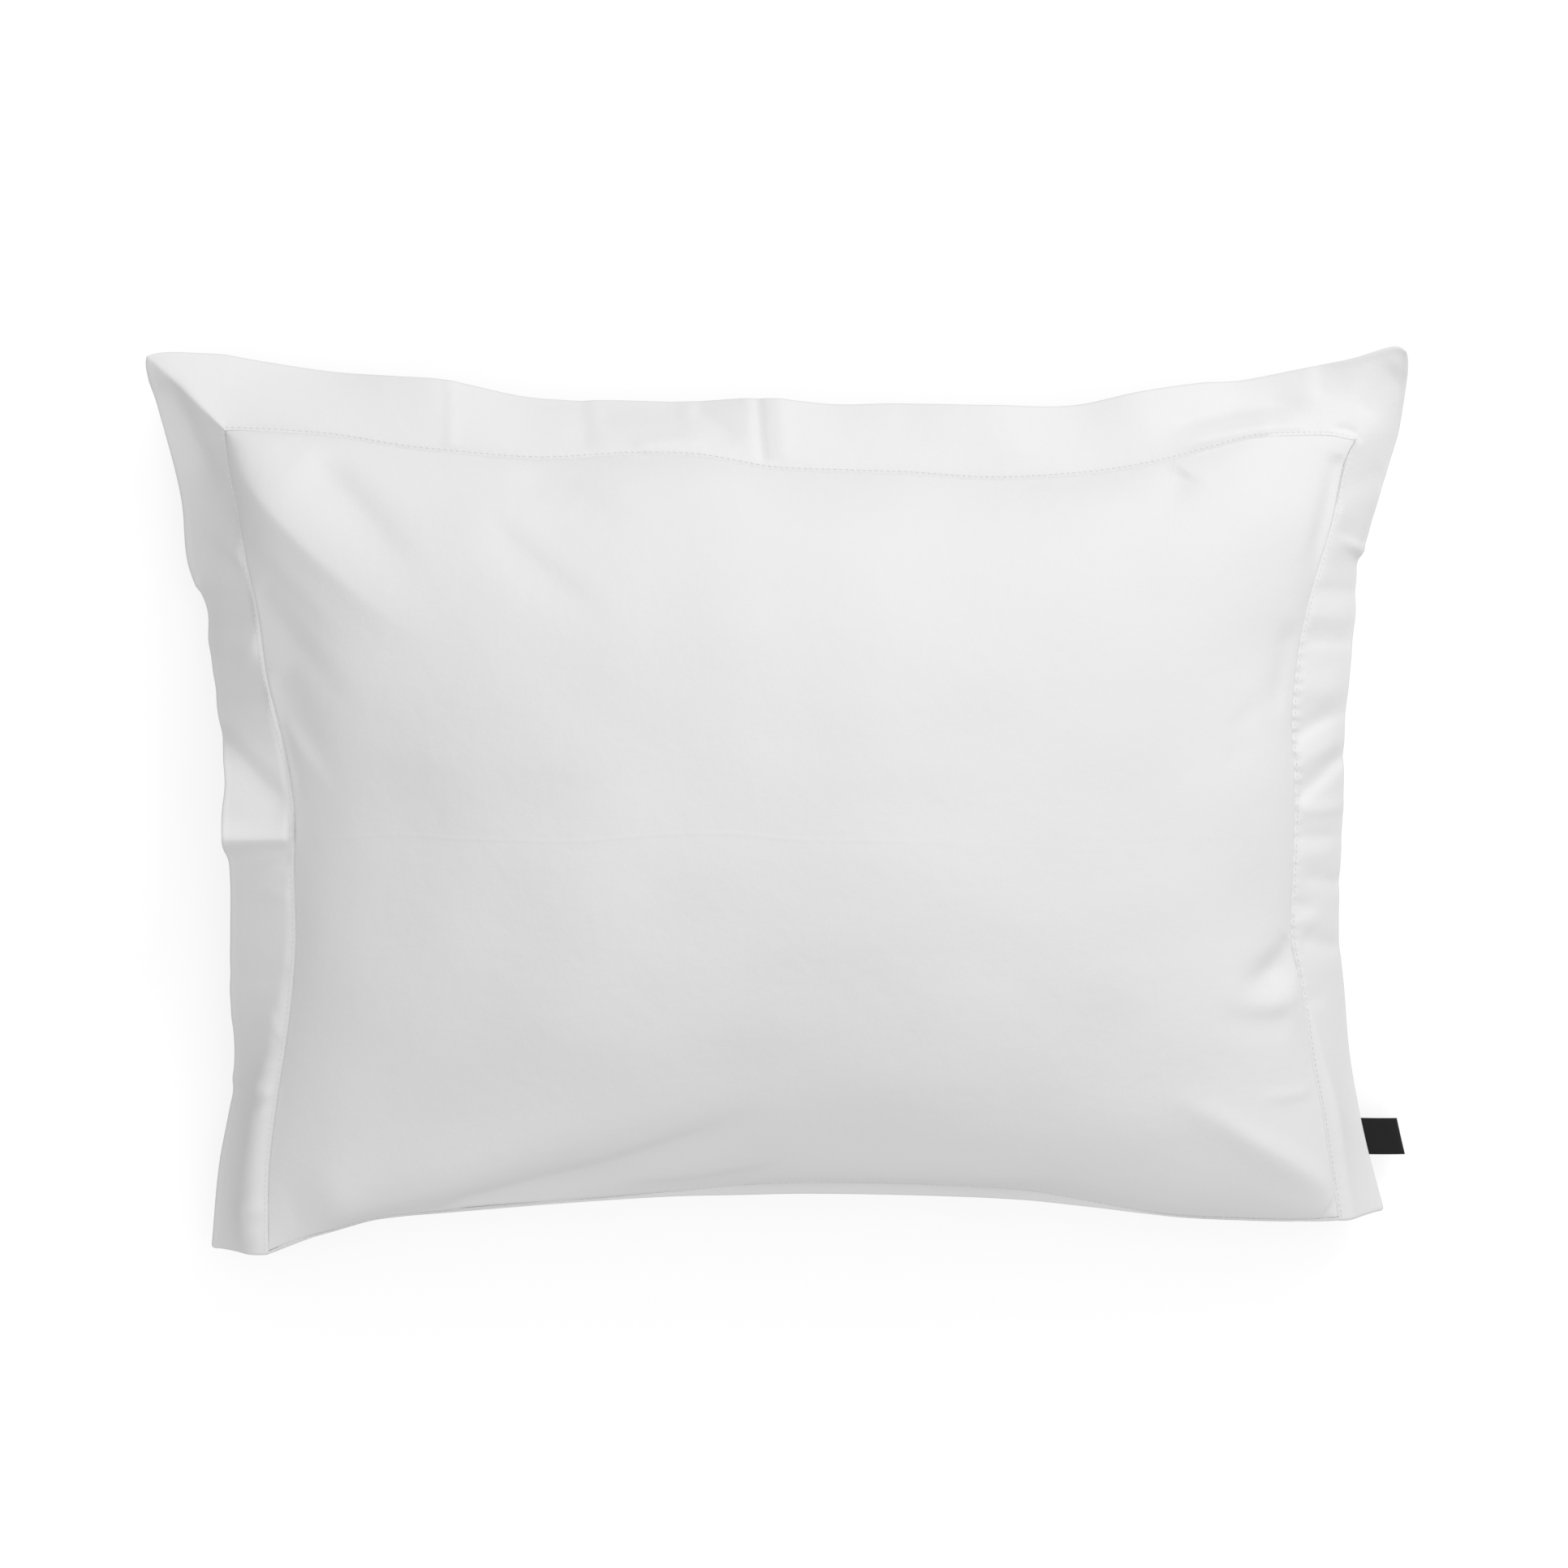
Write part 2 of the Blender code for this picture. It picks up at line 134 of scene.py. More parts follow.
RIGHT = [  # top to bottom
    Side(0.00, 0, 56, 32, 0, 0.08, 42),
    Side(0.03, 8.5, 57, 35.5, 10, 0.08, 44),
    Side(0.10, 17, 61, 34.5, 20, 0.08, 46),
    Side(0.135, 22, 63, 35.5, 20, 0.08, 47),
    Side(0.17, 28, 65, 34.5, 20, 0.08, 48),
    Side(0.22, 35.5, 68, 39.8),
    Side(0.28, 41, 70, 42),
    Side(0.36, 44, 72, 41.5),
    Side(0.45, 41.4, 73, 39.5),
    Side(0.55, 41.6, 73, 39),
    Side(0.63, 41, 71, 39),
    Side(0.71, 31.3, 67, 36, 10),
    Side(0.79, 23.7, 63, 34, -10, 0.25),
    Side(0.86, 15.1, 59, 33, -35, 0.38),
    Side(0.93, 7.6, 54, 35, -24, 0.34),
    Side(1.00, 0, 50, 38, -10, 0.30),
]
BOTTOM = [  # left to right; reach is how far the turned edge shows past the seam
    Side(0.00, 0, 47, 3.8, 0),
    Side(0.03, 7.8, 48.5, 2.8, 44),
    Side(0.06, 13.8, 51, 2.0, 66),
    Side(0.10, 20.8, 54, 1.8, 70),
    Side(0.17, 25.0, 60, 1.8, 70),
    Side(0.27, 29.6, 66, 2.2, 66),
    Side(0.36, 33.6, 69.5, 3.6, 54),
    Side(0.43, 36.5, 71.5, 5.4, 16),
    Side(0.49, 37, 72, 6.0, 6),
    Side(0.60, 33.5, 72, 6.0, 6),
    Side(0.69, 27.7, 69, 5.4, 10),
    Side(0.75, 19.5, 65.5, 4.0, 40),
    Side(0.83, 8.4, 60, 2.0, 68),
    Side(0.91, 3.0, 55, 1.8, 66),
    Side(0.97, 0.4, 51.5, 2.4, 44),
    Side(1.00, 0, 50, 3.8, 0),
]
OVERHANG = (2.0, 1.3)        # the face's edge hangs out and down over the turned edge, mm

# ---------------------------------------------------------- creases of the face
# From (x0, y0) over (x1, y1) to (x2, y2), mm in plan. left and right are its
# widths on either side as one goes from start to end, height is up for a ridge
# and down for a trough, rise is the share of its length in which it grows and
# fade the share in which it dies out. power is 2 for a rounded one and nearly 1
# for one folded sharply.
Crease = namedtuple("Crease", "name x0 y0 x1 y1 x2 y2 left right height rise fade power", defaults=(2.0,))
CREASES = [
    Crease("corner_ridge", -345, 249, -297, 178.5, -215, 113, 32, 20, 16.5, 0.05, 0.75, 1.4),
    Crease("corner_trough", -336, 196, -313, 154, -266, 100, 8, 18, -1.3, 0.2, 0.6),
    Crease("second_ridge", -330, 186, -302, 156, -262, 114, 7, 6, 1.0, 0.1, 0.7),
    Crease("second_trough", -335, 154, -309, 122, -271, 74, 10, 24, -5.0, 0.1, 0.6),
    Crease("third_trough", -327, 104, -311, 78, -289, 40, 13, 9, -5.2, 0.1, 0.6),
    Crease("fourth_ridge", -318, 80, -306, 63, -286, 34, 4, 7, 3.0, 0.2, 0.6),
    Crease("fourth_trough", -316, 72, -309, 48, -305, 14, 4, 6, -1.8, 0.1, 0.4),
    Crease("soft_trough", -300, 232, -267, 199, -224, 138, 11, 16, -4.2, 0.3, 0.6),
    Crease("slant_trough", -200, 200, -161, 163, -112, 124, 8, 15, -2.2, 0.3, 0.6),
    Crease("faint_trough", -182, 226, -142, 211, -92, 180, 10, 12, -2.0, 0.3, 0.6),
    Crease("top_pull", 230, 223, 222, 208, 212, 188, 10, 12, -2.6, 0.1, 0.8),
    Crease("right_groove", 300, 132, 293, 92, 281, 70, 7, 9, -2.6, 0.2, 0.5),
    Crease("small_dimple_a", 276, 88, 263, 72, 246, 60, 8, 7, -0.8, 0.4, 0.5),
    Crease("small_dimple_b", 266, 60, 256, 51, 238, 44, 7, 7, -0.6, 0.4, 0.5),
    Crease("right_dimple", 306, -73, 284, -87, 250, -92, 11, 11, -8.0, 0.05, 0.6),
    Crease("right_dimple_rim", 310, -99, 278, -102, 232, -88, 7, 9, 1.4, 0.25, 0.6),
    Crease("dimple_under", 302, -114, 270, -115, 226, -103, 11, 8, -2.0, 0.25, 0.6),
    Crease("curved_line", 318, -162, 296, -163, 272, -162, 4, 4, 0.9, 0.3, 0.4),
    Crease("lower_right_ridge", 337, -230, 270, -187, 200, -147, 10, 7, 3.0, 0.04, 0.6),
    Crease("lower_right_swell", 336, -232, 268, -189, 190, -148, 30, 20, 4.8, 0.04, 0.6),
    Crease("lower_left_ridge", -312, -224, -186, -182, -50, -138, 22, 16, 7.6, 0.15, 0.6),
    Crease("lower_left_hollow", -224, -222, -116, -192, -28, -152, 9, 15, -7.4, 0.10, 0.5),
    Crease("lower_left_faint", -126, -211, -53, -202, -8, -186, 4, 6, -1.8, 0.2, 0.6),
]

# The same, right beside the seam.
EDGE_CREASES = [
    Crease("right_edge_band", 336.5, 232, 326, 196, 310.5, 150, 4.5, 8, -3.0, 0.15, 0.35),
    Crease("bottom_roll", -62, -204, 46, -203, 158, -216, 13, 5.5, 3.0, 0.3, 0.3),
    Crease("left_edge_line", -317.5, 84, -311, 55, -304.5, 24, 2.6, 3.2, -0.8, 0.2, 0.3),
]
BLUNT = (4.0, 13.0)          # the seam corner top right is drawn in this far over this radius, mm

# -------------------------------------------------------- creases of the flange
# The same columns. They start at the seam and run past the flange's edge.
FLANGE_CREASES = [
    # left side, top to bottom
    Crease("left_corner_hollow", -383, 282, -366, 245, -351, 208, 6.5, 9, -7.0, 0.2, 0.35),
    Crease("left_light_fold", -329, 166, -342, 178, -364, 196, 4, 6, 2.3, 0.1, 0.6),
    Crease("left_dip_above", -332, 186, -345, 198, -370, 216, 8, 8, -1.4, 0.3, 0.4),
    Crease("left_dark_hollow", -324, 146, -343, 146, -366, 150, 11, 10, -3.4, 0.3, 0.05),
    Crease("left_soft_rise", -326, 118, -342, 122, -366, 126, 8, 9, 2.9, 0.3, 0.05),
    Crease("left_dip_a", -320, 92, -337, 94, -362, 96, 7, 9, -2.4, 0.2, 0.05),
    Crease("left_dark_line", -362, 76, -330, 45, -307, 19, 6, 10, -4.6, 0.15, 0.25),
    Crease("left_bright_fold", -304, 7, -330, 7, -372, 8, 2.4, 30, 9.0, 0.30, 0.02, 1.2),
    Crease("left_under_fold", -308, -5, -330, -6, -372, -8, 3.5, 9, -2.2, 0.15, 0.05),
    Crease("left_small_rise", -308, -26, -319, -26, -334, -27, 6, 3, 1.4, 0.05, 0.6),
    Crease("left_dip_b", -310, -76, -330, -76, -362, -77, 6, 7, -1.5, 0.2, 0.05),
    Crease("left_rise_b", -320, -100, -334, -102, -366, -103, 7, 5, 1.1, 0.3, 0.05),
    Crease("left_dip_c", -318, -112, -326, -120, -334, -128, 5, 6, -1.5, 0.2, 0.5),
    Crease("left_nick_fold", -322, -150, -336, -144, -366, -139, 3.5, 5, 1.9, 0.3, 0.02),
    Crease("left_under_nick", -330, -154, -342, -152, -366, -150, 5, 8, -1.6, 0.3, 0.02),
    Crease("left_low_hollow", -336, -158, -342, -190, -345, -228, 6, 6, -0.4, 0.2, 0.3),
    Crease("left_low_lift", -329, -132, -337, -185, -343, -244, 8, 7, 1.9, 0.3, 0.1),
    Crease("left_low_rise", -326, -219, -336, -219, -352, -220, 5, 5, 1.2, 0.1, 0.3),
    # right side, top to bottom
    Crease("right_dip_top", 334, 212, 350, 214, 372, 220, 9, 9, -0.9, 0.3, 0.1),
    Crease("right_dark_a", 331, 186, 345, 181, 368, 174, 17, 3.5, -2.6, 0.6, 0.02),
    Crease("right_dark_b", 332, 174, 347, 169, 370, 158, 3.5, 6, -1.8, 0.65, 0.02),
    Crease("right_light_b", 312, 157, 329, 156, 362, 153, 7, 5, 0.6, 0.2, 0.02),
    Crease("right_dark_c", 312, 147, 329, 147, 362, 143, 4, 5, -0.5, 0.25, 0.02),
    Crease("right_light_c", 310, 134, 329, 132, 362, 131, 8, 6, 1.4, 0.2, 0.35),
    Crease("right_dark_d", 309, 117, 328, 116, 360, 114, 7, 4, -1.3, 0.2, 0.35),
    Crease("right_light_d", 306, 87, 321, 86, 358, 86, 11, 8, 1.6, 0.15, 0.35),
    Crease("right_dark_e", 303, 56, 320, 65, 350, 74, 8, 4, -2.8, 0.08, 0.45),
    Crease("right_light_e", 304, 40, 320, 48, 350, 58, 6, 6, 1.4, 0.2, 0.40),
    Crease("right_dark_f", 304, 20, 324, 32, 350, 50, 8, 4, -3.3, 0.1, 0.30),
    Crease("right_light_f", 303, 13, 320, 12, 354, 12, 5, 4, 1.5, 0.08, 0.35),
    Crease("right_dark_g", 303, -3, 321, -5, 354, -8, 5, 4, -1.2, 0.08, 0.45),
    Crease("right_light_g", 303, -16, 314, -16, 350, -16, 5, 5, 0.9, 0.05, 0.45),
    Crease("right_dark_h", 306, -26, 326, -33, 350, -36, 6, 5, -1.6, 0.35, 0.30),
    Crease("right_dark_i", 301, -46, 310, -48, 322, -50, 5, 4, -1.2, 0.1, 0.5),
    Crease("right_light_i", 301, -57, 312, -57, 332, -55, 5, 5, 1.1, 0.08, 0.4),
    Crease("right_dark_j", 308, -66, 323, -72, 350, -79, 6, 5, -1.6, 0.3, 0.30),
    Crease("right_light_j", 304, -82, 318, -86, 346, -96, 8, 8, 0.7, 0.1, 0.3),
    Crease("right_dark_k", 311, -104, 320, -106, 334, -106, 5, 5, -0.9, 0.3, 0.5),
    # top, left to right
    Crease("top_thread_fold", -214, 232, -212, 256, -211, 282, 3, 4, 0.9, 0.3, 0.02),
    Crease("top_dip_a", -134, 232, -132, 252, -131, 276, 9, 5, -1.3, 0.3, 0.02),
    Crease("top_bright_lip", -110, 237, -84, 241, -56, 240, 4, 5, 1.3, 0.3, 0.3),
    Crease("top_dark_band", -128, 258, -96, 259, -64, 257, 8, 8, -1.7, 0.2, 0.2),
    Crease("top_slant_dip", -68, 262, -52, 251, -38, 240, 6, 6, -1.6, 0.2, 0.4),
    Crease("top_sharp_fold", -26, 228, -27, 246, -25, 278, 3.2, 3.2, -2.0, 0.15, 0.02),
    Crease("top_rise_b", -15, 228, -14, 248, -13, 276, 4, 6, 1.1, 0.2, 0.02),
    Crease("top_soft_a", 60, 232, 62, 250, 66, 276, 18, 18, -1.2, 0.3, 0.02),
    Crease("top_soft_b", 128, 226, 126, 246, 124, 272, 16, 14, 1.0, 0.3, 0.02),
    Crease("top_long_dark", 212, 246, 277, 260, 322, 261, 9, 5, -4.0, 0.25, 0.30),
    Crease("top_long_light", 222, 235, 279, 246, 322, 247, 5, 5, 2.2, 0.25, 0.25),
    Crease("top_corner_dip", 327, 262, 330, 276, 331, 298, 6, 13, -1.5, 0.4, 0.02),
    Crease("corner_tuck", 330, 245, 343, 245.5, 351, 236, 2.8, 2.8, -2.2, 0.25, 0.35),
    Crease("top_seam_tuck_a", -334, 248, -300, 246.3, -262, 241.4, 3.2, 2.4, -1.8, 0.2, 0.35),
    Crease("top_seam_tuck_b", -222, 236, -198, 233.6, -174, 231.5, 3.2, 2.4, -1.3, 0.3, 0.4),
    Crease("corner_dip", 352, 252, 364, 268, 378, 286, 9, 9, -1.6, 0.3, 0.2),
]


# -------------------------------------------------------------- table and shape
def along(rows, column, share):
    """A column of a table at shares of its side, smoothly between the rows."""
    share = np.clip(np.asarray(share, float), 0, 1)
    x = np.array([r.share for r in rows], float)
    y = np.array([getattr(r, column) for r in rows], float)
    i = np.clip(np.searchsorted(x, share, side="left") - 1, 0, len(x) - 2)
    before, after = np.maximum(i - 1, 0), np.minimum(i + 2, len(x) - 1)
    span = x[i + 1] - x[i]
    ta = (y[i + 1] - y[before]) / np.maximum(x[i + 1] - x[before], 1e-9) * span
    tb = (y[after] - y[i]) / np.maximum(x[after] - x[i], 1e-9) * span
    t = (share - x[i]) / span
    return ((2 * t ** 3 - 3 * t ** 2 + 1) * y[i] + (t ** 3 - 2 * t ** 2 + t) * ta
            + (3 * t ** 2 - 2 * t ** 3) * y[i + 1] + (t ** 3 - t ** 2) * tb)


def seam_point(side, share):
    ends = {"top": ("top_left", "top_right"), "bottom": ("bottom_left", "bottom_right"),
            "left": ("top_left", "bottom_left"), "right": ("top_right", "bottom_right")}
    inward = {"top": (0, -1), "bottom": (0, 1), "left": (1, 0), "right": (-1, 0)}[side]
    rows = {"top": TOP, "bottom": BOTTOM, "left": LEFT, "right": RIGHT}[side]
    share = np.asarray(share, float)
    a, b = (CORNERS[n] for n in ends[side])
    d = along(rows, "draw_in", share)
    return np.stack([a.x + (b.x - a.x) * share + inward[0] * d,
                     a.y + (b.y - a.y) * share + inward[1] * d,
                     along(rows, "height", share)], -1) * MM


def seam_net(u, v):
    """Surface over the seam loop for every pair of u and v: (len(u), len(v), 3)."""
    s, t = (np.asarray(u, float) + 1) / 2, (1 - np.asarray(v, float)) / 2
    top, bottom = seam_point("top", s)[:, None], seam_point("bottom", s)[:, None]
    left, right = seam_point("left", t)[None], seam_point("right", t)[None]
    tl, tr = seam_point("top", 0.0), seam_point("top", 1.0)
    bl, br = seam_point("bottom", 0.0), seam_point("bottom", 1.0)
    s, t = s[:, None, None], t[None, :, None]
    p = (top + (bottom - top) * t + left + (right - left) * s
         - ((tl + (tr - tl) * s) * (1 - t) + (bl + (br - bl) * s) * t))
    return p - blunted(p)


def blunted(p):
    """How far the rounded seam corner is drawn in at places in plan."""
    tip = seam_point("top", 1.0)
    far = np.hypot(p[..., 0] - tip[0], p[..., 1] - tip[1]) / (BLUNT[1] * MM)
    gone = BLUNT[0] * MM * 0.7071 * np.exp(-far ** 2)
    return np.stack([gone, gone, np.zeros_like(gone)], -1)


def fullness(t, edge):
    """Swell across the case: 1 in the middle, 0 at the seam."""
    low = (1 - (1 - SLOPE_EASE) ** FULLNESS) ** edge
    full = (1 - (np.minimum(1, np.abs(t)) * (1 - SLOPE_EASE)) ** FULLNESS) ** edge
    return (full - low) / (1 - low)


def shares(cells):
    i = np.arange(cells + 1)
    return np.sin(GATHER * (2 * i / cells - 1)) / math.sin(GATHER)


def crease_field(x, y, creases):
    """Height of the creases in metres at places in plan, in mm."""
    total = np.zeros(x.shape)
    flat_x, flat_y = x.ravel(), y.ravel()
    for c in creases:
        k = np.linspace(0, 1, 33)
        cx, cy = 2 * c.x1 - (c.x0 + c.x2) / 2, 2 * c.y1 - (c.y0 + c.y2) / 2
        px = (1 - k) ** 2 * c.x0 + 2 * k * (1 - k) * cx + k * k * c.x2
        py = (1 - k) ** 2 * c.y0 + 2 * k * (1 - k) * cy + k * k * c.y2
        reach = 6 / c.power * max(c.left, c.right)
        near = ((flat_x > px.min() - reach) & (flat_x < px.max() + reach)
                & (flat_y > py.min() - reach) & (flat_y < py.max() + reach))
        qx, qy = flat_x[near], flat_y[near]
        best = np.full(qx.shape, 1e9)
        place, side = np.zeros(qx.shape), np.zeros(qx.shape)
        for i in range(32):
            ax, ay, bx, by = px[i], py[i], px[i + 1], py[i + 1]
            dx, dy = bx - ax, by - ay
            h = np.clip(((qx - ax) * dx + (qy - ay) * dy) / (dx * dx + dy * dy), 0, 1)
            ex, ey = qx - ax - h * dx, qy - ay - h * dy
            d = np.hypot(ex, ey)
            closer = d < best
            best = np.where(closer, d, best)
            place = np.where(closer, (i + h) / 32, place)
            side = np.where(closer, dx * ey - dy * ex, side)
        width = np.where(side > 0, c.left, c.right)
        q = best / width
        across = np.exp(-q ** c.power * 0.9)
        grow = np.clip((place + 0.02) / c.rise, 0, 1)
        fade = np.clip((1 - place) / c.fade, 0, 1)
        lift = c.height * (grow * grow * (3 - 2 * grow)) * (fade * fade * (3 - 2 * fade))
        flat = total.reshape(-1)
        flat[near] += lift * across * MM
    return total


def undulation(x, y):
    """Slow unevenness of filled cloth, in metres, from a few crossing waves."""
    total = np.zeros(x.shape)
    for k, (angle, length, size, phase) in enumerate((
            (0.35, 170, 0.7, 0.4), (1.25, 128, 0.5, 2.1), (2.2, 96, 0.32, 4.0),
            (2.9, 74, 0.2, 1.3), (0.9, 61, 0.14, 5.2), (1.8, 47, 0.09, 3.3))):
        bend = 18 * np.sin(0.011 * (x * math.sin(angle) - y * math.cos(angle)) + phase * 1.7)
        total += size * MM * np.sin(2 * math.pi * (x * math.cos(angle) + y * math.sin(angle) + bend)
                                    / length + phase)
    return total


def grid_normals(p):
    du, dv = np.gradient(p, axis=0), np.gradient(p, axis=1)
    n = np.cross(du, dv)
    return n / np.maximum(np.linalg.norm(n, axis=-1, keepdims=True), 1e-12)


def face_grid(u, v):
    p = seam_net(u, v)
    fu, fv = fullness(u, EDGE_FRONT)[:, None], fullness(v, EDGE_FRONT)[None]
    full = fu * fv
    inside = full / np.maximum(fu + fv - full, 1e-6)
    p[..., 2] += CROWN * full
    soft = np.clip(3.2 * full, 0, 1)
    soft = soft * soft * (3 - 2 * soft)
    x, y = p[..., 0] / MM, p[..., 1] / MM
    near = np.clip(3.4 * inside, 0, 1)
    lift = crease_field(x, y, CREASES) * near * (2 - near) + undulation(x, y) * soft
    lift += crease_field(x, y, EDGE_CREASES) * np.clip(25 * inside, 0, 1)
    return p + grid_normals(p) * lift[..., None]


def back_grid(u, v):
    p = seam_net(u, v)
    z = p[..., 2] - SAG * fullness(u, EDGE_BACK)[:, None] * fullness(v, EDGE_BACK)[None]
    eased = np.where(z <= -FLAT_EASE, 0.0, (z + FLAT_EASE) ** 2 / (4 * FLAT_EASE))
    p[..., 2] = np.where(z < FLAT_EASE, eased, z)
    return p


def fall(rows, share, r):
    """Out and down along the flange at shares of a side and shares r of its
    width. The two broadcast."""
    share, r = np.broadcast_arrays(np.asarray(share, float), np.asarray(r, float))
    width = along(rows, "width", share) * MM
    reach = np.minimum(along(rows, "reach", share) * MM, width * 0.995)
    curl = np.radians(along(rows, "curl", share))
    lip = np.maximum(along(rows, "lip", share), 0.004)
    places = (np.arange(20) + 0.5) / 20

    def slope(start, q):
        ease = np.minimum(1.0, q / lip)
        return (start + curl * q) * ease * ease * (3 - 2 * ease)

    low, high = np.maximum(0, -curl), math.pi - np.maximum(curl, 0)
    for _ in range(18):
        start = (low + high) / 2
        out = sum(np.cos(slope(start, q)) for q in places) * width / 20
        wide = out > reach
        low, high = np.where(wide, start, low), np.where(wide, high, start)
    out = sum(np.cos(slope(start, q * r)) for q in places) * r * width / 20
    down = sum(np.sin(slope(start, q * r)) for q in places) * r * width / 20
    return out, down


def tuck_in(rows, share, r, tuck):
    """How far the plies reach in under the seam, in their own slope, and up."""
    out, down = fall(rows, share, 0.07)
    length = np.maximum(np.hypot(out, down), 1e-9)
    level = tuck * np.clip(along(rows, "lip", share) / 0.08, 0.6, 1)
    gone = level * np.clip(1 - np.asarray(r) / 0.12, 0, 1)
    inward, up = gone * out / length, gone * down / length
    return inward, np.minimum(up, 0.5 * inward + 0.05 * MM)


def side_step(sign, t, r, tuck=TUCK):
    rows = LEFT if sign < 0 else RIGHT
    out, down = fall(rows, t, r)
    inward, up = tuck_in(rows, t, r, tuck)
    out, down = out - inward, down - up
    return np.stack([sign * out, np.zeros_like(out), -down], -1)


def top_step(s, r, tuck=TUCK):
    out, down = fall(TOP, s, r)
    inward, up = tuck_in(TOP, s, r, tuck)
    out, down = out - inward, down - up
    return np.stack([np.zeros_like(out), out, -down], -1)


def flange_steps():
    """Shares of the flange's width, closer together at the seam and the edge."""
    x = np.arange(1, FLANGE_CELLS + 1) / FLANGE_CELLS
    return x - 0.09 * np.sin(2 * math.pi * x)


def settle_corners(p, k, steps):
    """Evens out the heights where the top's and a side's flange meet, and at the
    swept corner its way across. The seam and the sharp fold of the first corner
    keep theirs."""
    n = p.shape[0]
    weight = np.zeros(p.shape[:2])
    for name, part in (("top_left", 0.06), ("top_right", 1.0)):
        c = CORNERS[name]
        cx, cy = (c.x + 0.45 * c.dx) * MM, (c.y + 0.45 * c.dy) * MM
        d = np.hypot(p[..., 0] - cx, p[..., 1] - cy)
        weight = np.maximum(weight, part * np.clip(2.1 - d / 0.038, 0, 1))
    weight[k:n - k, k:] = 0
    i = np.arange(k)
    weight[i, i] *= 0.0
    beside = np.clip(1.4 - np.abs(np.arange(p.shape[1]) - k) / 18, 0, 1)
    for part, share, rounds in ((0, weight * beside * (np.arange(n) >= n - k)[:, None], 200), (2, weight, 700)):
        z = p[..., part].copy()
        pulls = []
        for axis in (0, 1):
            gap = np.linalg.norm(np.diff(p[..., :2], axis=axis), axis=-1) + 1e-5
            first, last = np.take(gap, [0], axis), np.take(gap, [-1], axis)
            before, after = np.concatenate([first, gap], axis), np.concatenate([gap, last], axis)
            pulls += [1 / (before * (before + after)), 1 / (after * (before + after))]
        total = sum(pulls)
        for _ in range(rounds):
            g = np.pad(z, 1, mode="edge")
            g[0, 1:-1], g[-1, 1:-1] = 2 * z[0] - z[1], 2 * z[-1] - z[-2]
            g[1:-1, 0], g[1:-1, -1] = 2 * z[:, 0] - z[:, 1], 2 * z[:, -1] - z[:, -2]
            mean = (pulls[0] * g[:-2, 1:-1] + pulls[1] * g[2:, 1:-1]
                    + pulls[2] * g[1:-1, :-2] + pulls[3] * g[1:-1, 2:]) / total
            z += 0.9 * share * (mean - z)
        p[..., part] = z


